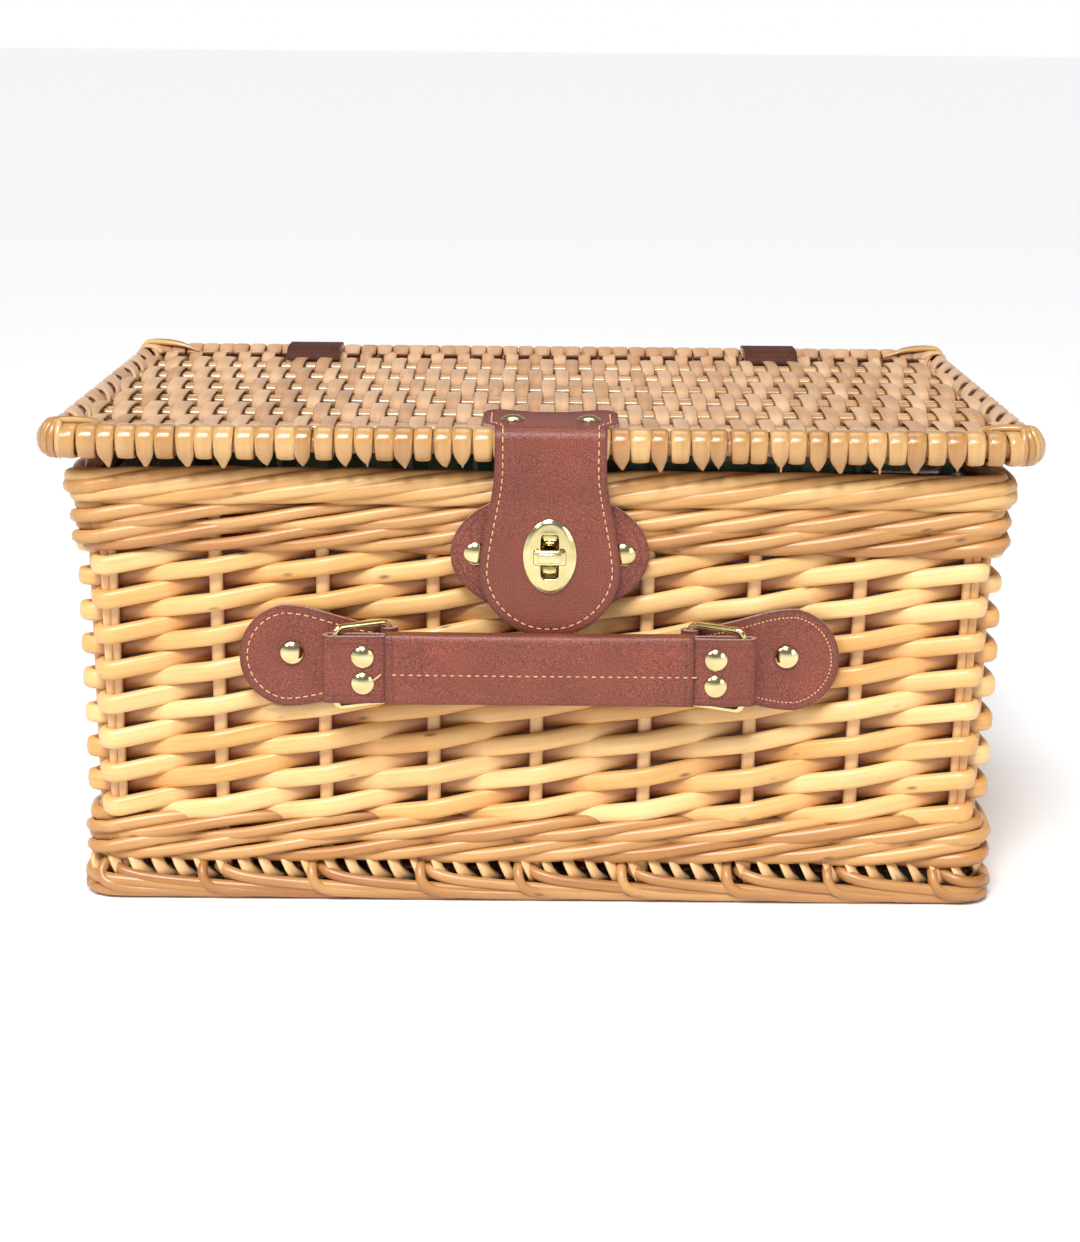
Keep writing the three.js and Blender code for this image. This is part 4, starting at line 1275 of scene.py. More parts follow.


# %% [markdown]
# ## The closure strap
#
# One long strap is riveted to the lid, bends over its front edge and hangs down to the turn lock.
# It has ears at the rivets, a straight neck and a round end. It crosses the hinge line at the
# lid's edge, and is attached to neither the lid nor the flap.

# %% Closure strap
STRAP_LOW, STRAP_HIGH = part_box("closure_strap_top")
FLAP_LOW, FLAP_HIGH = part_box("closure_strap_flap")
PLATE_LOW, PLATE_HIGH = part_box("slot_plate")
STRAP_X = (FLAP_LOW.x + FLAP_HIGH.x) / 2
LOCK_Z = (PLATE_LOW.z + PLATE_HIGH.z) / 2
LEATHER_T = 2.2 * MM
STRAP_TOP_Z = STRAP_HIGH.z - LEATHER_T / 2
FLAP_FRONT_Y = FLAP_LOW.y + LEATHER_T / 2
FLAP_LOCK_Y = PLATE_HIGH.y + 0.3 * MM + LEATHER_T / 2
STRAP_PATH = soften([
    (STRAP_X, STRAP_HIGH.y, STRAP_TOP_Z + 1.5 * MM), (STRAP_X, STRAP_HIGH.y - 10 * MM, STRAP_TOP_Z),
    (STRAP_X, FLAP_FRONT_Y + 6 * MM, STRAP_TOP_Z),
    (STRAP_X, FLAP_FRONT_Y, STRAP_TOP_Z - 1.0 * MM), (STRAP_X, FLAP_FRONT_Y, STRAP_TOP_Z - 9 * MM),
    (STRAP_X, FLAP_FRONT_Y + 0.6 * MM, STRAP_TOP_Z - 19 * MM), (STRAP_X, FLAP_LOCK_Y, STRAP_TOP_Z - 34 * MM),
    (STRAP_X, FLAP_LOCK_Y, FLAP_LOW.z + 20 * MM), (STRAP_X, FLAP_LOCK_Y, FLAP_LOW.z),
], 4)
FLAP_R = (FLAP_HIGH.x - FLAP_LOW.x) / 2
EAR_HALF = (STRAP_HIGH.x - STRAP_LOW.x) / 2
NECK_HALF = 23.3 * MM


def smoothstep(x, low, high):
    t = np.clip((x - low) / (high - low), 0, 1)
    return t * t * (3 - 2 * t)


def strap_half(u):
    """Half width: rounded ears, neck, then the wide round end."""
    u = np.asarray(u, float)
    ear_round = 6 * MM
    ear = EAR_HALF - ear_round + np.sqrt(np.clip(ear_round ** 2 - np.clip(ear_round - u, 0, None) ** 2, 0, None))
    top = ear + (NECK_HALF - ear) * smoothstep(u, 27 * MM, 37 * MM)
    left = STRAP_LENGTH - u
    cap = np.sqrt(np.clip(FLAP_R ** 2 - np.clip(FLAP_R - left, 0, None) ** 2, 0, None))
    flare = FLAP_R + (NECK_HALF - FLAP_R) * smoothstep(left, 24 * MM, 76 * MM)
    return np.where(u < 40 * MM, top, np.where(left < FLAP_R * 0.8, cap, np.minimum(cap, flare)))


def strap_back_edge(u, w):
    """The edge between the ears is hollow, so the middle starts a little further on."""
    hollow = 3.5 * MM * np.clip(1 - (w / (EAR_HALF * 0.72)) ** 2, 0, 1)
    return u + hollow * np.clip(1 - u / (20 * MM), 0, 1)


STRAP_LENGTH = float(np.linalg.norm(np.diff(STRAP_PATH, axis=0), axis=1).sum())
STRAP = Cut(STRAP_PATH, (1, 0, 0), strap_half, shape=strap_back_edge)
LOCK_MIDDLE = (STRAP_X, FLAP_LOCK_Y, LOCK_Z)


def make_closure_strap():
    hole = [((STRAP_X, FLAP_LOCK_Y, LOCK_Z + dz * MM), 5.6 * MM) for dz in (-5, 0, 5)]
    piece = make_leather("closure_strap", STRAP, LEATHER_T, 104, 48, hole)
    dress_leather(piece, LEATHER, None, "leather", "closure_strap_top", "closure_strap_flap")
    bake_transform(piece)
    line = inset_line(STRAP.outline(), STITCH_INSET)
    line = line[line[:, 0] > 5 * MM]
    threads = roll_tubes("closure_strap_stitches", stitches(STRAP, line, LEATHER_T / 2), 5)
    threads.data.materials.append(THREAD)
    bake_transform(threads)


make_closure_strap()

# %% [markdown]
# ## Lock patch, tabs, handle and hinges
#
# The other leather pieces are smaller cuts bent the same way: the oval patch behind the lock, a
# teardrop tab at each end of the handle that is rolled round the ring's bar, the handle strap
# folded back at both ends, its sewn grip, and the dark hinge straps at the back.


# %% Lock patch
def make_lock_patch():
    low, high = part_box("lock_patch")
    y = (low.y + high.y) / 2
    half_length = (high.x - low.x) / 2
    half_height = (high.z - low.z) / 2
    path = [(low.x + (high.x - low.x) * i / 40, y, LOCK_Z) for i in range(41)]
    half = lambda u: half_height * np.sqrt(np.clip(1 - ((u - half_length) / half_length) ** 2, 0, 1))
    cut = Cut(path, (0, 0, 1), half)
    piece = make_leather("lock_patch_leather", cut, high.y - low.y, 60, 30)
    return dress_leather(piece, LEATHER, "basket", "leather", "lock_patch")


make_lock_patch()

# %% Handle tabs
RING_LOW, RING_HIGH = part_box("ring_right")
TAB_LOW, TAB_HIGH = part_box("handle_tab_right")
TAB_RIVET_LOW, TAB_RIVET_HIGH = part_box("tab_rivet_right")
TAB_R = (TAB_HIGH.z - TAB_LOW.z) / 2
TAB_Z = (TAB_HIGH.z + TAB_LOW.z) / 2
TAB_RIVET_X = (TAB_RIVET_LOW.x + TAB_RIVET_HIGH.x) / 2
PIVOT_X = TAB_LOW.x + 3.8 * MM
BAR_Y = TAB_LOW.y + 3.8 * MM
TAB_T = 2.3 * MM
TAB_Y = TAB_HIGH.y - TAB_T / 2 - 0.6 * MM


def tab_path(side):
    """From the round end towards the ring, then forward round its bar and back."""
    turn_r = 2.9 * MM
    points = [(side * (TAB_HIGH.x - t * (TAB_HIGH.x - PIVOT_X)), TAB_Y - 0.2 * MM * t, TAB_Z) for t in np.linspace(0, 1, 30)]
    for angle in np.linspace(math.radians(90), math.radians(-165), 16):
        points.append((side * (PIVOT_X - turn_r * math.cos(angle)), BAR_Y + turn_r * math.sin(angle), TAB_Z))
    return points


def tab_half(u):
    u = np.asarray(u, float)
    cap = np.sqrt(np.clip(TAB_R ** 2 - (TAB_R - u) ** 2, 0, None))
    taper = TAB_R * 0.985 + (13.6 * MM - TAB_R * 0.985) * smoothstep(u, TAB_R * 0.9, TAB_HIGH.x - PIVOT_X - 1 * MM)
    return np.where(u < TAB_R * 0.86, cap, np.minimum(np.where(u < TAB_R, cap, TAB_R), taper))


def make_tab(name, side):
    rivet_u = TAB_HIGH.x - TAB_RIVET_X

    def lift(u, w):
        reach = np.sqrt((u - rivet_u) ** 2 + (w - 1.5 * MM) ** 2)
        dimple = -0.7 * MM * np.exp(-(reach / (6.5 * MM)) ** 2)
        rise = 0.8 * MM * np.exp(-((u - rivet_u - 16 * MM) / (9 * MM)) ** 2)
        return -side * (dimple + rise) * (u < TAB_HIGH.x - PIVOT_X)

    cut = Cut(tab_path(side), (0, 0, 1), tab_half, lift)
    piece = make_leather(name + "_leather", cut, TAB_T, 84, 36)
    dress_leather(piece, LEATHER, "basket", "leather", name)
    line = inset_line(cut.outline(), STITCH_INSET)
    line = line[(line[:, 0] < TAB_HIGH.x - PIVOT_X - 2 * MM)]
    jump = np.argmax(np.linalg.norm(np.diff(line, axis=0), axis=1)) + 1
    line = np.concatenate([line[jump:], line[:jump]])
    threads = roll_tubes(name + "_stitches", stitches(cut, line, -side * TAB_T / 2), 5)
    finish_piece(threads, "basket", "leather", THREAD)


make_tab("handle_tab_left", -1)
make_tab("handle_tab_right", 1)

# %% Handle strap
HANDLE_LOW, HANDLE_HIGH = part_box("handle_strap")
GRIP_LOW, GRIP_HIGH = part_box("handle_grip")
HANDLE_Y = (HANDLE_LOW.y + HANDLE_HIGH.y) / 2
HANDLE_Z = (HANDLE_LOW.z + HANDLE_HIGH.z) / 2


def make_handle_strap():
    outer = (HANDLE_HIGH.y - HANDLE_LOW.y) / 2
    layer = outer - LEATHER_T / 2
    inner = 1.45 * MM
    turn_x = HANDLE_HIGH.x - outer
    half_path = [(GRIP_HIGH.x - 6 * MM, inner), (GRIP_HIGH.x - 1 * MM, inner), (GRIP_HIGH.x + 4 * MM, layer), (turn_x, layer)]
    for angle in np.linspace(math.radians(80), math.radians(-80), 13):
        half_path.append((turn_x + layer * math.cos(angle), layer * math.sin(angle)))
    half_path += [(turn_x, -layer), (GRIP_HIGH.x + 4 * MM, -layer), (GRIP_HIGH.x - 1 * MM, -inner), (GRIP_HIGH.x - 10 * MM, -inner)]
    right = [(x, HANDLE_Y + y, HANDLE_Z) for x, y in half_path]
    left = [(-x, y, z) for x, y, z in reversed(right)]
    middle = [(x, HANDLE_Y - inner, HANDLE_Z) for x in np.linspace(GRIP_HIGH.x - 20 * MM, -GRIP_HIGH.x + 20 * MM, 9)]
    path = soften(right + middle + left, 2)
    half_height = (HANDLE_HIGH.z - HANDLE_LOW.z) / 2
    cut = Cut(path, (0, 0, 1), lambda u: half_height + 0.0 * u)
    piece = make_leather("handle_strap_leather", cut, LEATHER_T, 190, 24)
    return dress_leather(piece, LEATHER, "handle", "leather", "handle_strap")


make_handle_strap()


# %% Grip sleeve
GRIP_SEAM = -1.9 * MM


def grip_ring(x, scale, count=56):
    """One ring of the sleeve: a rounded slab, thinner at the seam."""
    half_t = (GRIP_HIGH.y - GRIP_LOW.y) / 2 * scale[0]
    half_h = (GRIP_HIGH.z - GRIP_LOW.z) / 2 * scale[1]
    ring = []
    for i in range(count):
        angle = 2 * math.pi * i / count
        c, s = math.cos(angle), math.sin(angle)
        y = math.copysign(abs(c) ** 0.42, c) * half_t
        z = math.copysign(abs(s) ** 0.55, s) * half_h
        if c < 0:
            y += 0.5 * MM * math.exp(-((z - GRIP_SEAM) / (1.6 * MM)) ** 2)
        ring.append((x, HANDLE_Y + y, HANDLE_Z + z))
    return ring


def make_grip():
    end = GRIP_HIGH.x
    rings = []
    for t in np.linspace(-1, 1, 41):
        swell = 1 - 0.10 * t * t
        rings.append(grip_ring(t * end, (swell, 1 - 0.015 * (1 - t * t))))
    inner = (0.52, 0.90)
    rings += [grip_ring(end * t, inner) for t in (1.0, 0.5, 0, -0.5, -1.0)]
    around = len(rings[0])
    bm = bmesh.new()
    edge_layer = bm.verts.layers.float.new("edge")
    made = bmesh.ops.create_grid(bm, x_segments=around, y_segments=len(rings), size=1)
    rows = rings + rings[:1]
    places = [row[i % around] for row in rows for i in range(around + 1)]
    for vert, place in zip(made["verts"], places):
        vert.co = place
        seam_gap = abs(place[2] - HANDLE_Z - GRIP_SEAM) if place[1] < HANDLE_Y else 0.01
        vert[edge_layer] = min(end - abs(place[0]), 0.0034 + seam_gap)
    bmesh.ops.remove_doubles(bm, verts=bm.verts, dist=1e-7)
    bmesh.ops.recalc_face_normals(bm, faces=bm.faces)
    for face in bm.faces:
        face.smooth = True
    mesh = bpy.data.meshes.new("grip_sleeve")
    bm.to_mesh(mesh)
    bm.free()
    piece = bpy.data.objects.new("grip_sleeve", mesh)
    bpy.context.scene.collection.objects.link(piece)
    bevel = piece.modifiers.new("eased_edge", "BEVEL")
    bevel.width = 0.3 * MM
    bevel.segments = 2
    bevel.limit_method = "ANGLE"
    bevel.angle_limit = math.radians(50)
    return dress_leather(piece, LEATHER, "handle", "leather", "handle_grip")


def make_grip_seam():
    y = GRIP_LOW.y + 0.5 * MM
    path = [(x, y, HANDLE_Z + GRIP_SEAM) for x in np.linspace(-GRIP_HIGH.x + 1 * MM, GRIP_HIGH.x + 3 * MM, 60)]
    curve = [(p[0], y + 0.5 * MM * (p[0] / GRIP_HIGH.x) ** 2, p[2]) for p in path]
    cut = Cut(curve, (0, 0, 1), lambda u: 1 * MM + 0 * u)
    line = np.stack([np.linspace(0, cut.length, 80), np.zeros(80)], axis=1)
    rods = stitches(cut, line, 0.15 * MM)
    tail = smooth_path([(-GRIP_HIGH.x + 1, y, HANDLE_Z + GRIP_SEAM + 0.3 * MM), (-GRIP_HIGH.x, y, 0)], 2)
    x0 = -GRIP_HIGH.x - 1.5 * MM
    loose = [(x0 - d * MM, HANDLE_LOW.y - 0.1 * MM, HANDLE_Z + GRIP_SEAM - d * 0.8 * MM) for d in (0, 1.5, 3.0, 4.2)]
    rods.append({"points": loose, "half_w": 0.45 * MM, "half_t": 0.4 * MM, "wide": (0, 0, 1), "tone": 0.5})
    return finish_piece(roll_tubes("grip_stitches", rods, 5), "handle", "leather", THREAD)


make_grip()
make_grip_seam()


# %% Hinge straps
def make_hinge(side_name):
    low_u, high_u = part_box("hinge_strap_" + side_name + "_upper")
    low_l, high_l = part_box("hinge_strap_" + side_name + "_lower")
    x = (low_u.x + high_u.x) / 2
    top = high_u.z - LEATHER_T / 2
    back = high_u.y - LEATHER_T / 2
    wall = (low_l.y + high_l.y) / 2
    path = soften([
        (x, low_u.y, top - 5 * MM), (x, low_u.y + 3 * MM, top - 0.4 * MM), (x, low_u.y + 9 * MM, top), (x, back - 5 * MM, top),
        (x, back - 1 * MM, top - 0.8 * MM), (x, back, top - 7 * MM), (x, back - 0.5 * MM, low_u.z),
        (x, wall + 1 * MM, high_l.z - 8 * MM), (x, wall, high_l.z - 15 * MM), (x, wall, low_l.z),
    ], 3)
    half_width = (high_u.x - low_u.x) / 2
    length = float(np.linalg.norm(np.diff(path, axis=0), axis=1).sum())

    def half(u):
        end = np.clip(5 * MM - (length - u), 0, 5 * MM)
        return half_width - 5 * MM + np.sqrt(np.clip((5 * MM) ** 2 - end ** 2, 0, None))

    cut = Cut(path, (1, 0, 0), half)
    name = "hinge_strap_" + side_name
    piece = make_leather(name, cut, LEATHER_T, 70, 20)
    dress_leather(piece, DARK_LEATHER, None, "dark_leather", name + "_upper", name + "_lower")
    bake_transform(piece)


make_hinge("left")
make_hinge("right")

# %% [markdown]
# ## Brass fittings
#
# The rivets, the slot plate, the turn knob and the two wire rings are polished brass. A rivet head
# is a profile spun round its axis. The plate is a stack of ovals joined to an upright slot, and
# the knob is a small eased bar on a stem.


# %% Brass materials
def brass_material():
    material, tree, shader = principled("polished_brass")
    place = add(tree, "ShaderNodeTexCoord").outputs["Object"]
    noise = add(tree, "ShaderNodeTexNoise", {"Vector": place, "Scale": 700.0, "Detail": 3.0})
    cloud = add(tree, "ShaderNodeTexNoise", {"Vector": place, "Scale": 120.0, "Detail": 2.0})
    colour = ramp(tree, cloud.outputs["Fac"], [(0.3, (0.72, 0.59, 0.27)), (0.7, (0.86, 0.76, 0.42))])
    tree.links.new(colour, shader.inputs["Base Color"])
    rough = math_node(tree, "MULTIPLY_ADD", noise.outputs["Fac"], 0.12, 0.08)
    tree.links.new(rough, shader.inputs["Roughness"])
    shader.inputs["Metallic"].default_value = 1.0
    bump = add(tree, "ShaderNodeBump", {"Height": noise.outputs["Fac"], "Strength": 0.05, "Distance": 0.0002})
    tree.links.new(bump.outputs[0], shader.inputs["Normal"])
    return material


def steel_material():
    material, tree, shader = principled("zip_steel")
    place = add(tree, "ShaderNodeTexCoord").outputs["Object"]
    noise = add(tree, "ShaderNodeTexNoise", {"Vector": place, "Scale": 900.0, "Detail": 3.0})
    tree.links.new(ramp(tree, noise.outputs["Fac"], [(0.3, (0.42, 0.43, 0.43)), (0.7, (0.62, 0.63, 0.62))]),
                   shader.inputs["Base Color"])
    rough = math_node(tree, "MULTIPLY_ADD", noise.outputs["Fac"], 0.2, 0.25)
    tree.links.new(rough, shader.inputs["Roughness"])
    shader.inputs["Metallic"].default_value = 1.0
    return material


BRASS = brass_material()
STEEL = steel_material()

# %% Spun rivets
FACING = {"front": Matrix.Identity(4), "back": Matrix.Rotation(math.pi, 4, "Z"), "up": Matrix.Rotation(-math.pi / 2, 4, "X")}


def make_rivet(node, body, facing):
    low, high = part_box(node)
    size = high - low
    across = size.x / 2
    dome = 2.0 * MM
    depth = (size.z if facing == "up" else size.y) - dome
    profile = [(0.0001 * MM, -dome)]
    for step in range(1, 9):
        out = step / 8
        profile.append((across * 0.97 * out, -0.4 * MM - (dome - 0.4 * MM) * (1 - out ** 2)))
    profile += [(across, -0.2 * MM), (across, 0.15 * MM), (1.5 * MM, 0.15 * MM), (1.5 * MM, depth)]
    if depth > 5 * MM:
        profile += [(across * 0.8, depth - 1 * MM), (across * 0.8, depth)]
    profile.append((0.0001 * MM, depth))
    bm = bmesh.new()
    verts = [bm.verts.new((r, y, 0)) for r, y in profile]
    for first, second in zip(verts, verts[1:]):
        bm.edges.new((first, second))
    bmesh.ops.spin(bm, geom=bm.verts[:] + bm.edges[:], cent=(0, 0, 0), axis=(0, 1, 0), angle=2 * math.pi,
                   steps=36, use_merge=True, use_duplicate=False)
    bmesh.ops.remove_doubles(bm, verts=bm.verts, dist=0.001 * MM)
    bmesh.ops.recalc_face_normals(bm, faces=bm.faces)
    centre = (low + high) / 2
    seat = {"front": Vector((centre.x, low.y + dome, centre.z)), "back": Vector((centre.x, high.y - dome, centre.z)),
            "up": Vector((centre.x, centre.y, high.z - dome))}[facing]
    bmesh.ops.transform(bm, matrix=Matrix.Translation(seat) @ FACING[facing], verts=bm.verts)
    return bmesh_piece(bm, node + "_head", body, "brass", BRASS, node)


def bmesh_piece(bm, name, body, slot, material, *nodes, smooth=True):
    for face in bm.faces:
        face.smooth = smooth
    mesh = bpy.data.meshes.new(name)
    bm.to_mesh(mesh)
    bm.free()
    piece = bpy.data.objects.new(name, mesh)
    bpy.context.scene.collection.objects.link(piece)
    return finish_piece(piece, body, slot, material, *nodes)


for side in ("left", "right"):
    make_rivet("patch_rivet_" + side, "basket", "front")
    make_rivet("tab_rivet_" + side, "basket", "front")
    make_rivet("strap_rivet_" + side, "lid", "up")
    make_rivet("hinge_rivet_" + side + "_upper", "lid", "back")
    make_rivet("hinge_rivet_" + side + "_lower", "basket", "back")
    make_rivet("handle_rivet_" + side + "_upper", "handle", "front")
    make_rivet("handle_rivet_" + side + "_lower", "handle", "front")


# %% Slot plate
def oval_ring(half_x, half_z, y, count=64):
    turns = [2 * math.pi * i / count for i in range(count)]
    return [(STRAP_X + half_x * math.sin(a), y, LOCK_Z + half_z * math.cos(a)) for a in turns]


def slot_ring(half_x, half_z, y, count=64):
    """A ring with nearly straight sides and round corners."""
    ring = []
    for i in range(count):
        across, up = math.sin(2 * math.pi * i / count), math.cos(2 * math.pi * i / count)
        reach = 1 / (abs(across / half_x) ** 8 + abs(up / half_z) ** 8) ** 0.125
        ring.append((STRAP_X + across * reach, y, LOCK_Z + up * reach))
    return ring


def lay_rings(rings, closed=True):
    """A grid rolled into a shell through the rings, in order; closed also joins last to first."""
    rows = rings + rings[:1] if closed else rings
    around = len(rings[0])
    bm = bmesh.new()
    made = bmesh.ops.create_grid(bm, x_segments=around, y_segments=len(rows) - 1, size=1)
    places = [row[i % around] for row in rows for i in range(around + 1)]
    for vert, place in zip(made["verts"], places):
        vert.co = place
    bmesh.ops.remove_doubles(bm, verts=bm.verts, dist=1e-7)
    bmesh.ops.recalc_face_normals(bm, faces=bm.faces)
    return bm


def make_slot_plate():
    half_x = (PLATE_HIGH.x - PLATE_LOW.x) / 2
    half_z = (PLATE_HIGH.z - PLATE_LOW.z) / 2
    back, front = PLATE_HIGH.y, PLATE_LOW.y
    ovals = [(0.99, 0.99, back), (1, 1, back - 0.15 * MM), (0.995, 0.995, back - 0.5 * MM), (0.94, 0.96, back - 0.55 * MM),
             (0.90, 0.93, back - 1.0 * MM), (0.80, 0.86, front - 0.05 * MM), (0.74, 0.82, front - 0.12 * MM)]
    slots = [(4.6, 10.3, front - 0.12 * MM), (4.2, 9.9, front - 0.28 * MM), (3.85, 9.5, front - 0.12 * MM), (3.85, 9.5, back)]
    rings = [oval_ring(half_x * a, half_z * b, y) for a, b, y in ovals]
    bm = lay_rings(rings + [slot_ring(a * MM, b * MM, y) for a, b, y in slots])
    return bmesh_piece(bm, "slot_plate_oval", "closure_flap", "brass", BRASS, "slot_plate")


make_slot_plate()


# %% Turn knob and its base
def eased_block(bm, low, high, radius, segments=3):
    made = bmesh.ops.create_cube(bm, size=1)
    low, high = Vector(low), Vector(high)
    size = high - low
    bmesh.ops.scale(bm, vec=size, verts=made["verts"])
    bmesh.ops.translate(bm, vec=(low + high) / 2, verts=made["verts"])
    edges = list({edge for vert in made["verts"] for edge in vert.link_edges})
    bmesh.ops.bevel(bm, geom=edges, offset=radius, affect="EDGES", segments=segments, profile=0.5, material=-1)


def make_knob():
    low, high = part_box("turn_knob")
    base_low, base_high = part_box("lock_base")
    bm = bmesh.new()
    bar_back = low.y + 3.6 * MM
    eased_block(bm, (low.x, low.y + 0.5 * MM, low.z), (high.x, bar_back, high.z), 1.1 * MM, 4)
    eased_block(bm, (low.x + 1.9 * MM, low.y, low.z + 1.2 * MM), (high.x - 1.9 * MM, low.y + 1.5 * MM, high.z - 1.2 * MM), 0.6 * MM)
    stem = bmesh.ops.create_cone(bm, cap_ends=True, segments=24, radius1=2.5 * MM, radius2=2.5 * MM, depth=high.y - bar_back + 1 * MM)
    turn = Matrix.Translation((STRAP_X, (high.y + bar_back - 1 * MM) / 2, LOCK_Z)) @ Matrix.Rotation(math.pi / 2, 4, "X")
    bmesh.ops.transform(bm, matrix=turn, verts=stem["verts"])
    bmesh_piece(bm, "turn_knob_bar", "lock_knob", "brass", BRASS, "turn_knob")
    bm = lay_rings([
        slot_ring(4.4 * MM, 10 * MM, base_high.y), slot_ring(4.5 * MM, 10 * MM, base_low.y + 0.4 * MM),
        slot_ring(4.1 * MM, 9.6 * MM, base_low.y), oval_ring(2.85 * MM, 2.85 * MM, base_low.y),
        oval_ring(2.85 * MM, 2.85 * MM, base_high.y),
    ])
    bmesh_piece(bm, "lock_base_plate", "basket", "brass", BRASS, "lock_base")


make_knob()


# %% Wire rings
def make_ring(node, body, side):
    low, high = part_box(node)
    wire = 1.25 * MM
    pivot_x = side * PIVOT_X
    far_x = (high.x if side > 0 else low.x) - side * wire
    far_y = low.y + wire
    length = math.hypot(far_x - pivot_x, far_y - BAR_Y)
    half_h = (high.z - low.z) / 2 - wire
    middle_z = (high.z + low.z) / 2
    corner = 3.2 * MM
    flat = []
    centres = [(length - corner, half_h - corner, 0), (corner, half_h - corner, 90),
               (corner, -half_h + corner, 180), (length - corner, -half_h + corner, 270)]
    for cx, cz, first in centres:
        for step in range(9):
            angle = math.radians(first + 90 * step / 8)
            flat.append((cx + corner * math.cos(angle), cz + corner * math.sin(angle)))
    heading = Vector((far_x - pivot_x, far_y - BAR_Y, 0)).normalized()
    points = [tuple(Vector((pivot_x, BAR_Y, middle_z)) + heading * a + Vector((0, 0, b))) for a, b in flat]
    flatness = tuple(heading.cross(Vector((0, 0, 1))))
    rod = {"points": points, "half_w": 1.3 * MM, "half_t": 1.45 * MM, "wide": flatness, "tone": 0, "closed": True}
    return finish_piece(roll_tubes(node + "_wire", [rod], 14), body, "brass", BRASS, node)


make_ring("ring_left", "left_ring", -1)
make_ring("ring_right", "right_ring", 1)

# %% [markdown]
# ## Inside: cloth lining and the insulated compartment
#
# A checked cloth lines the willow and a padded cool box with a silver inside takes up the right
# half, closed by a zipped cover. They show through the gaps of the weave and when the lid is up.
# The lining is one sheet, cut as a cross and pushed into the box. The box and its cover are padded,
# with the quilting pressed into the top of the cover.


# %% Cloth materials
def check_cloth():
    """Dark green check: crossing bands of yarn with a fine plain weave."""
    material, tree, shader = principled("green_check_cloth")
    place = add(tree, "ShaderNodeTexCoord").outputs["Object"]
    split = add(tree, "ShaderNodeSeparateXYZ", {"Vector": place})
    colour = (0.022, 0.045, 0.030)
    total = None
    for axis, shift in (("X", 0.0), ("Y", 0.004), ("Z", 0.007)):
        spot = math_node(tree, "MULTIPLY_ADD", split.outputs[axis], 1 / 0.034, shift + 50)
        band = math_node(tree, "PINGPONG", spot, 0.5)
        line = ramp(tree, math_node(tree, "MULTIPLY", band, 2.0),
                    [(0.0, (1, 1, 1)), (0.06, (1, 1, 1)), (0.08, (0, 0, 0)), (0.52, (0, 0, 0)), (0.56, (0.45, 0.45, 0.45)), (1.0, (0.45, 0.45, 0.45))])
        total = line if total is None else mix(tree, 1.0, total, line, "ADD")
    yarn = add(tree, "ShaderNodeTexNoise", {"Vector": place, "Scale": 1300.0, "Detail": 2.0})
    shade = math_node(tree, "MULTIPLY_ADD", yarn.outputs["Fac"], 0.9, 0.5)
    tinted = ramp(tree, math_node(tree, "MULTIPLY", total, 0.5), [(0.0, colour), (0.5, (0.05, 0.09, 0.055)), (1.0, (0.30, 0.30, 0.21))])
    shaded = add(tree, "ShaderNodeVectorMath", {0: tinted}, operation="SCALE")
    tree.links.new(shade, shaded.inputs["Scale"])
    tree.links.new(shaded.outputs[0], shader.inputs["Base Color"])
    shader.inputs["Roughness"].default_value = 0.9
    shader.inputs["Sheen Weight"].default_value = 0.3
    bump = add(tree, "ShaderNodeBump", {"Height": yarn.outputs["Fac"], "Strength": 0.5, "Distance": 0.0003})
    tree.links.new(bump.outputs[0], shader.inputs["Normal"])
    return material


def plain_cloth(name, dark, pale, metallic, roughness):
    material, tree, shader = principled(name)
    place = add(tree, "ShaderNodeTexCoord").outputs["Object"]
    crease = add(tree, "ShaderNodeTexNoise", {"Vector": place, "Scale": 60.0, "Detail": 4.0, "Distortion": 0.6})
    yarn = add(tree, "ShaderNodeTexNoise", {"Vector": place, "Scale": 1400.0, "Detail": 2.0})
    tree.links.new(ramp(tree, crease.outputs["Fac"], [(0.35, dark), (0.65, pale)]), shader.inputs["Base Color"])
    shader.inputs["Metallic"].default_value = metallic
    shader.inputs["Roughness"].default_value = roughness
    height = math_node(tree, "MULTIPLY_ADD", yarn.outputs["Fac"], 0.25, crease.outputs["Fac"])
    bump = add(tree, "ShaderNodeBump", {"Height": height, "Strength": 0.5, "Distance": 0.0012})
    tree.links.new(bump.outputs[0], shader.inputs["Normal"])
    return material


CHECK = check_cloth()
# The backing's dim greyish mauve is painted shade: it stands for a pale lining cloth seen in the shade behind the rods.
SHADED_BACKING = plain_cloth("backing_cloth_painted_shade", (0.30, 0.235, 0.22), (0.40, 0.33, 0.31), 0.0, 0.85)
FOIL = plain_cloth("silver_foil_lining", (0.66, 0.67, 0.69), (0.80, 0.81, 0.83), 0.75, 0.44)


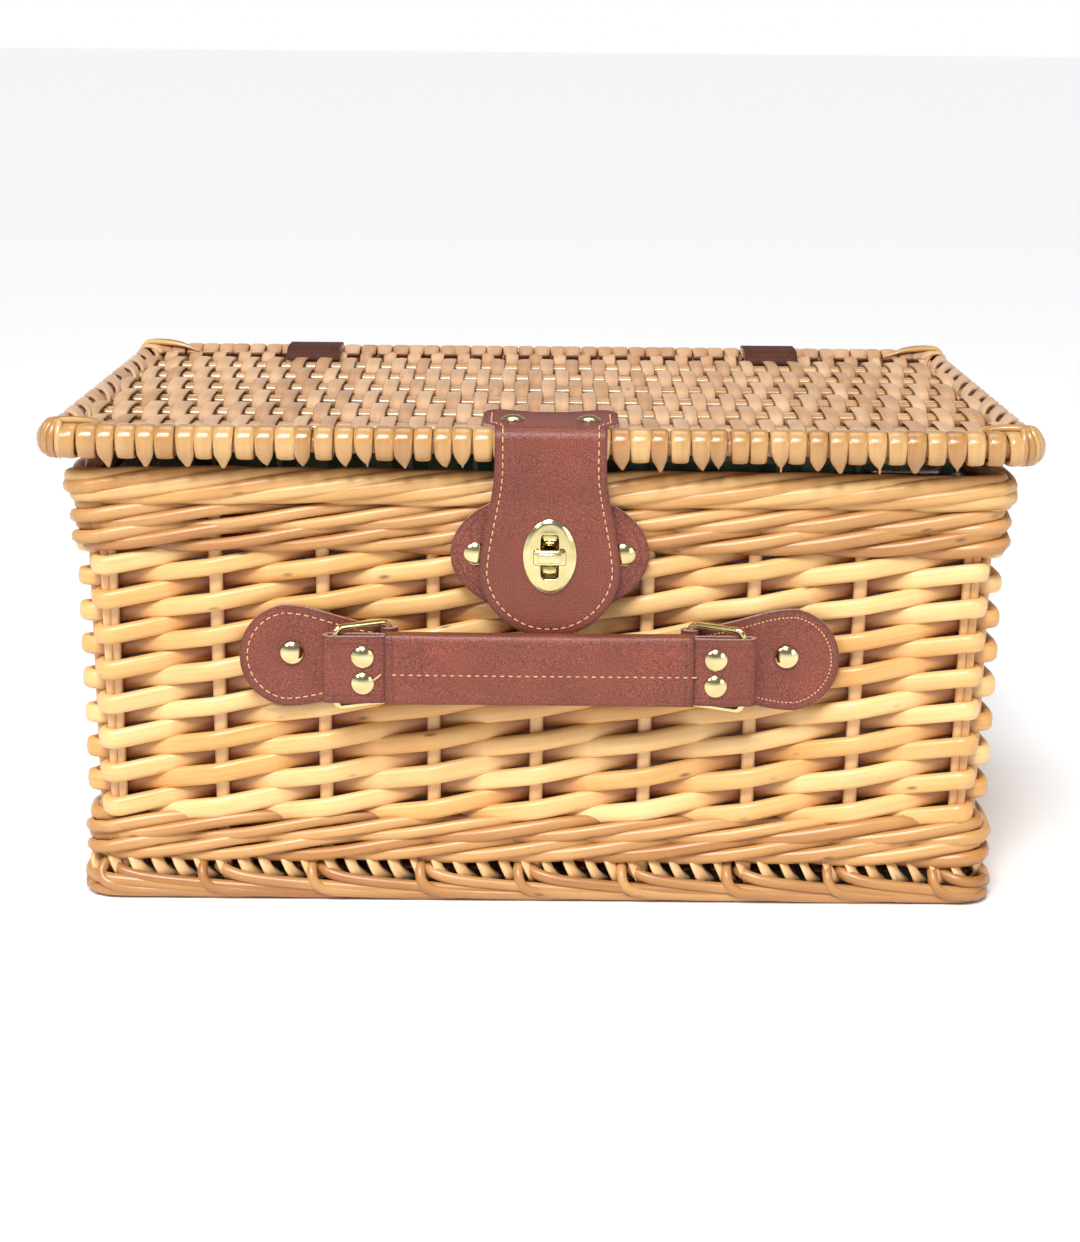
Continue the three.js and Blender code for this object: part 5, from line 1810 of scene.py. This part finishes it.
# %% The lining sheet
def open_box(name, low, high, radius, cells, bulge):
    """Floor and four walls with rounded upright corners, as one skin, open at the top."""
    around = []
    count = 12
    for cx, cy, first in ((1, 1, 0), (-1, 1, 90), (-1, -1, 180), (1, -1, 270)):
        for step in range(count // 2 + 1):
            angle = math.radians(first + 90 * step / (count // 2))
            mid = (low + high) / 2
            x = mid.x + cx * ((high.x - low.x) / 2 - radius) + radius * math.cos(angle)
            y = mid.y + cy * ((high.y - low.y) / 2 - radius) + radius * math.sin(angle)
            around.append((x, y))
    ring = []
    for (x0, y0), (x1, y1) in zip(around, around[1:] + around[:1]):
        pieces_here = max(1, round(math.hypot(x1 - x0, y1 - y0) / cells))
        ring += [(x0 + (x1 - x0) * i / pieces_here, y0 + (y1 - y0) * i / pieces_here) for i in range(pieces_here)]
    middle = (low + high) / 2
    rows = round((high.z - low.z) / cells)
    rings = [[(middle.x + (x - middle.x) * inward, middle.y + (y - middle.y) * inward, low.z) for x, y in ring]
             for inward in (0.0, 0.3, 0.6, 0.85, 0.97)]
    for j in range(rows + 1):
        share = j / rows
        z = low.z + 1.5 * MM + (high.z - low.z - 1.5 * MM) * share
        loop = []
        for k, (x, y) in enumerate(ring):
            slack = bulge * math.sin(math.pi * share) * (0.5 + 0.5 * math.sin(k * 0.9 + 2 * math.sin(share * 5)))
            scale_x = 1 - slack / (high.x - middle.x)
            scale_y = 1 - slack / (high.y - middle.y)
            loop.append((middle.x + (x - middle.x) * scale_x, middle.y + (y - middle.y) * scale_y, z))
        rings.append(loop)
    bm = lay_rings(rings, closed=False)
    if sum(face.normal.z * face.calc_area() for face in bm.faces) < 0:
        bmesh.ops.reverse_faces(bm, faces=bm.faces)
    return bm


def make_liner():
    low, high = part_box("fabric_liner")
    bm = open_box("cloth_liner", low + Vector((0.2, 0.2, 0.4)) * MM, high - Vector((0.2, 0.2, 0)) * MM, 8 * MM, 9 * MM, 0.7 * MM)
    area = sum(face.calc_area() for face in bm.faces)
    piece = bmesh_piece(bm, "cloth_liner", "basket", "lining_cloth", CHECK, "fabric_liner")
    # The outer face of the sheet takes the backing colour, painted shade.
    piece.data.materials.append(SHADED_BACKING)
    solid = piece.modifiers.new("cloth_thickness", "SOLIDIFY")
    solid.thickness = 0.6 * MM
    solid.offset = -1
    solid.material_offset = 1
    return piece


make_liner()


# %% The cool box
def quilt_face(bm, pitch, depth, planes):
    """Press diamonds into the given faces of a fine box."""
    for vert in bm.verts:
        for axis, level, push in planes:
            if abs(vert.co[axis] - level) < 0.4 * MM:
                a, b = [vert.co[k] for k in range(3) if k != axis]
                ridge = abs(math.sin(math.pi * (a + b) / pitch)) * abs(math.sin(math.pi * (a - b) / pitch))
                vert.co[axis] = level + push * depth * (ridge ** 0.4 - 0.2)
                break


def make_cool_box():
    low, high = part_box("cooler_box")
    wall = 6.4 * MM
    outer = open_box("cool_box", low + Vector((0.3, 0.3, 0.2)) * MM, high - Vector((0.3, 0.3, 0.4)) * MM, 7 * MM, 5 * MM, 0.4 * MM)
    bmesh.ops.recalc_face_normals(outer, faces=outer.faces)
    bmesh.ops.solidify(outer, geom=outer.faces[:], thickness=wall)
    if outer.calc_volume(signed=True) < 0:
        bmesh.ops.reverse_faces(outer, faces=outer.faces)
    piece = bmesh_piece(outer, "cool_box_walls", "basket", "cooler_foil", FOIL, "cooler_box")
    return piece


make_cool_box()


def make_cool_cover():
    low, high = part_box("cooler_flap")
    bm = bmesh.new()
    made = bmesh.ops.create_cube(bm, size=1)
    size = high - low
    bmesh.ops.scale(bm, vec=(size.x, size.y, size.z * 0.9), verts=made["verts"])
    bmesh.ops.translate(bm, vec=(low + high) / 2, verts=made["verts"])
    upright = [e for e in bm.edges if abs(e.verts[0].co.z - e.verts[1].co.z) > 1 * MM]
    bmesh.ops.bevel(bm, geom=upright, offset=7 * MM, affect="EDGES", segments=5, profile=0.5, material=-1)
    rim = [e for e in bm.edges if abs(e.verts[0].co.z - e.verts[1].co.z) < 0.1 * MM]
    bmesh.ops.bevel(bm, geom=rim, offset=1.2 * MM, affect="EDGES", segments=3, profile=0.5, material=-1)
    for axis, lo, hi in ((0, low.x, high.x), (1, low.y, high.y)):
        normal = Vector((1, 0, 0)) if axis == 0 else Vector((0, 1, 0))
        count = int((hi - lo) / (5 * MM))
        for i in range(1, count):
            spot = Vector((0, 0, 0))
            spot[axis] = lo + (hi - lo) * i / count
            bmesh.ops.bisect_plane(bm, geom=bm.verts[:] + bm.edges[:] + bm.faces[:], plane_co=spot, plane_no=normal)
    top = high.z - size.z * 0.05
    quilt_face(bm, 52 * MM, 0.9 * MM, [(2, top, 1)])
    bmesh.ops.recalc_face_normals(bm, faces=bm.faces)
    piece = bmesh_piece(bm, "cool_box_cover", "cooler_cover", "lining_cloth", CHECK, "cooler_flap")
    return piece


make_cool_cover()


# %% Zip along the front of the cool box
def make_zip():
    low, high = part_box("cooler_box")
    slider_low, slider_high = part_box("zip_slider")
    bm = bmesh.new()
    z = high.z - 1.2 * MM
    count = int((high.x - low.x - 16 * MM) / (2.0 * MM))
    for i in range(count):
        x = low.x + 8 * MM + 2.0 * MM * i
        shift = 0.35 * MM if i % 2 else -0.35 * MM
        eased_block(bm, (x - 0.62 * MM, low.y - 1.1 * MM, z - 1.6 * MM + shift),
                    (x + 0.62 * MM, low.y + 0.9 * MM, z + 1.6 * MM + shift), 0.25 * MM, 1)
    bmesh_piece(bm, "zip_teeth", "basket", "zip_metal", STEEL)
    bm = bmesh.new()
    eased_block(bm, (low.x + 6 * MM, low.y - 0.3 * MM, z - 9 * MM), (high.x - 6 * MM, low.y + 0.35 * MM, z + 1.0 * MM), 0.25 * MM, 1)
    tape = bmesh_piece(bm, "zip_tape", "basket", "lining_cloth", CHECK)
    bm = bmesh.new()
    middle = (slider_low.z + slider_high.z) / 2
    eased_block(bm, (slider_high.x - 9 * MM, slider_low.y, slider_low.z), (slider_high.x, slider_high.y, slider_high.z), 0.9 * MM, 3)
    eased_block(bm, (slider_low.x, slider_low.y + 0.6 * MM, middle - 0.5 * MM),
                (slider_high.x - 7 * MM, slider_high.y - 0.6 * MM, middle + 0.7 * MM), 0.5 * MM, 2)
    bmesh_piece(bm, "zip_slider_body", "slider", "zip_metal", STEEL, "zip_slider")
    return tape


make_zip()
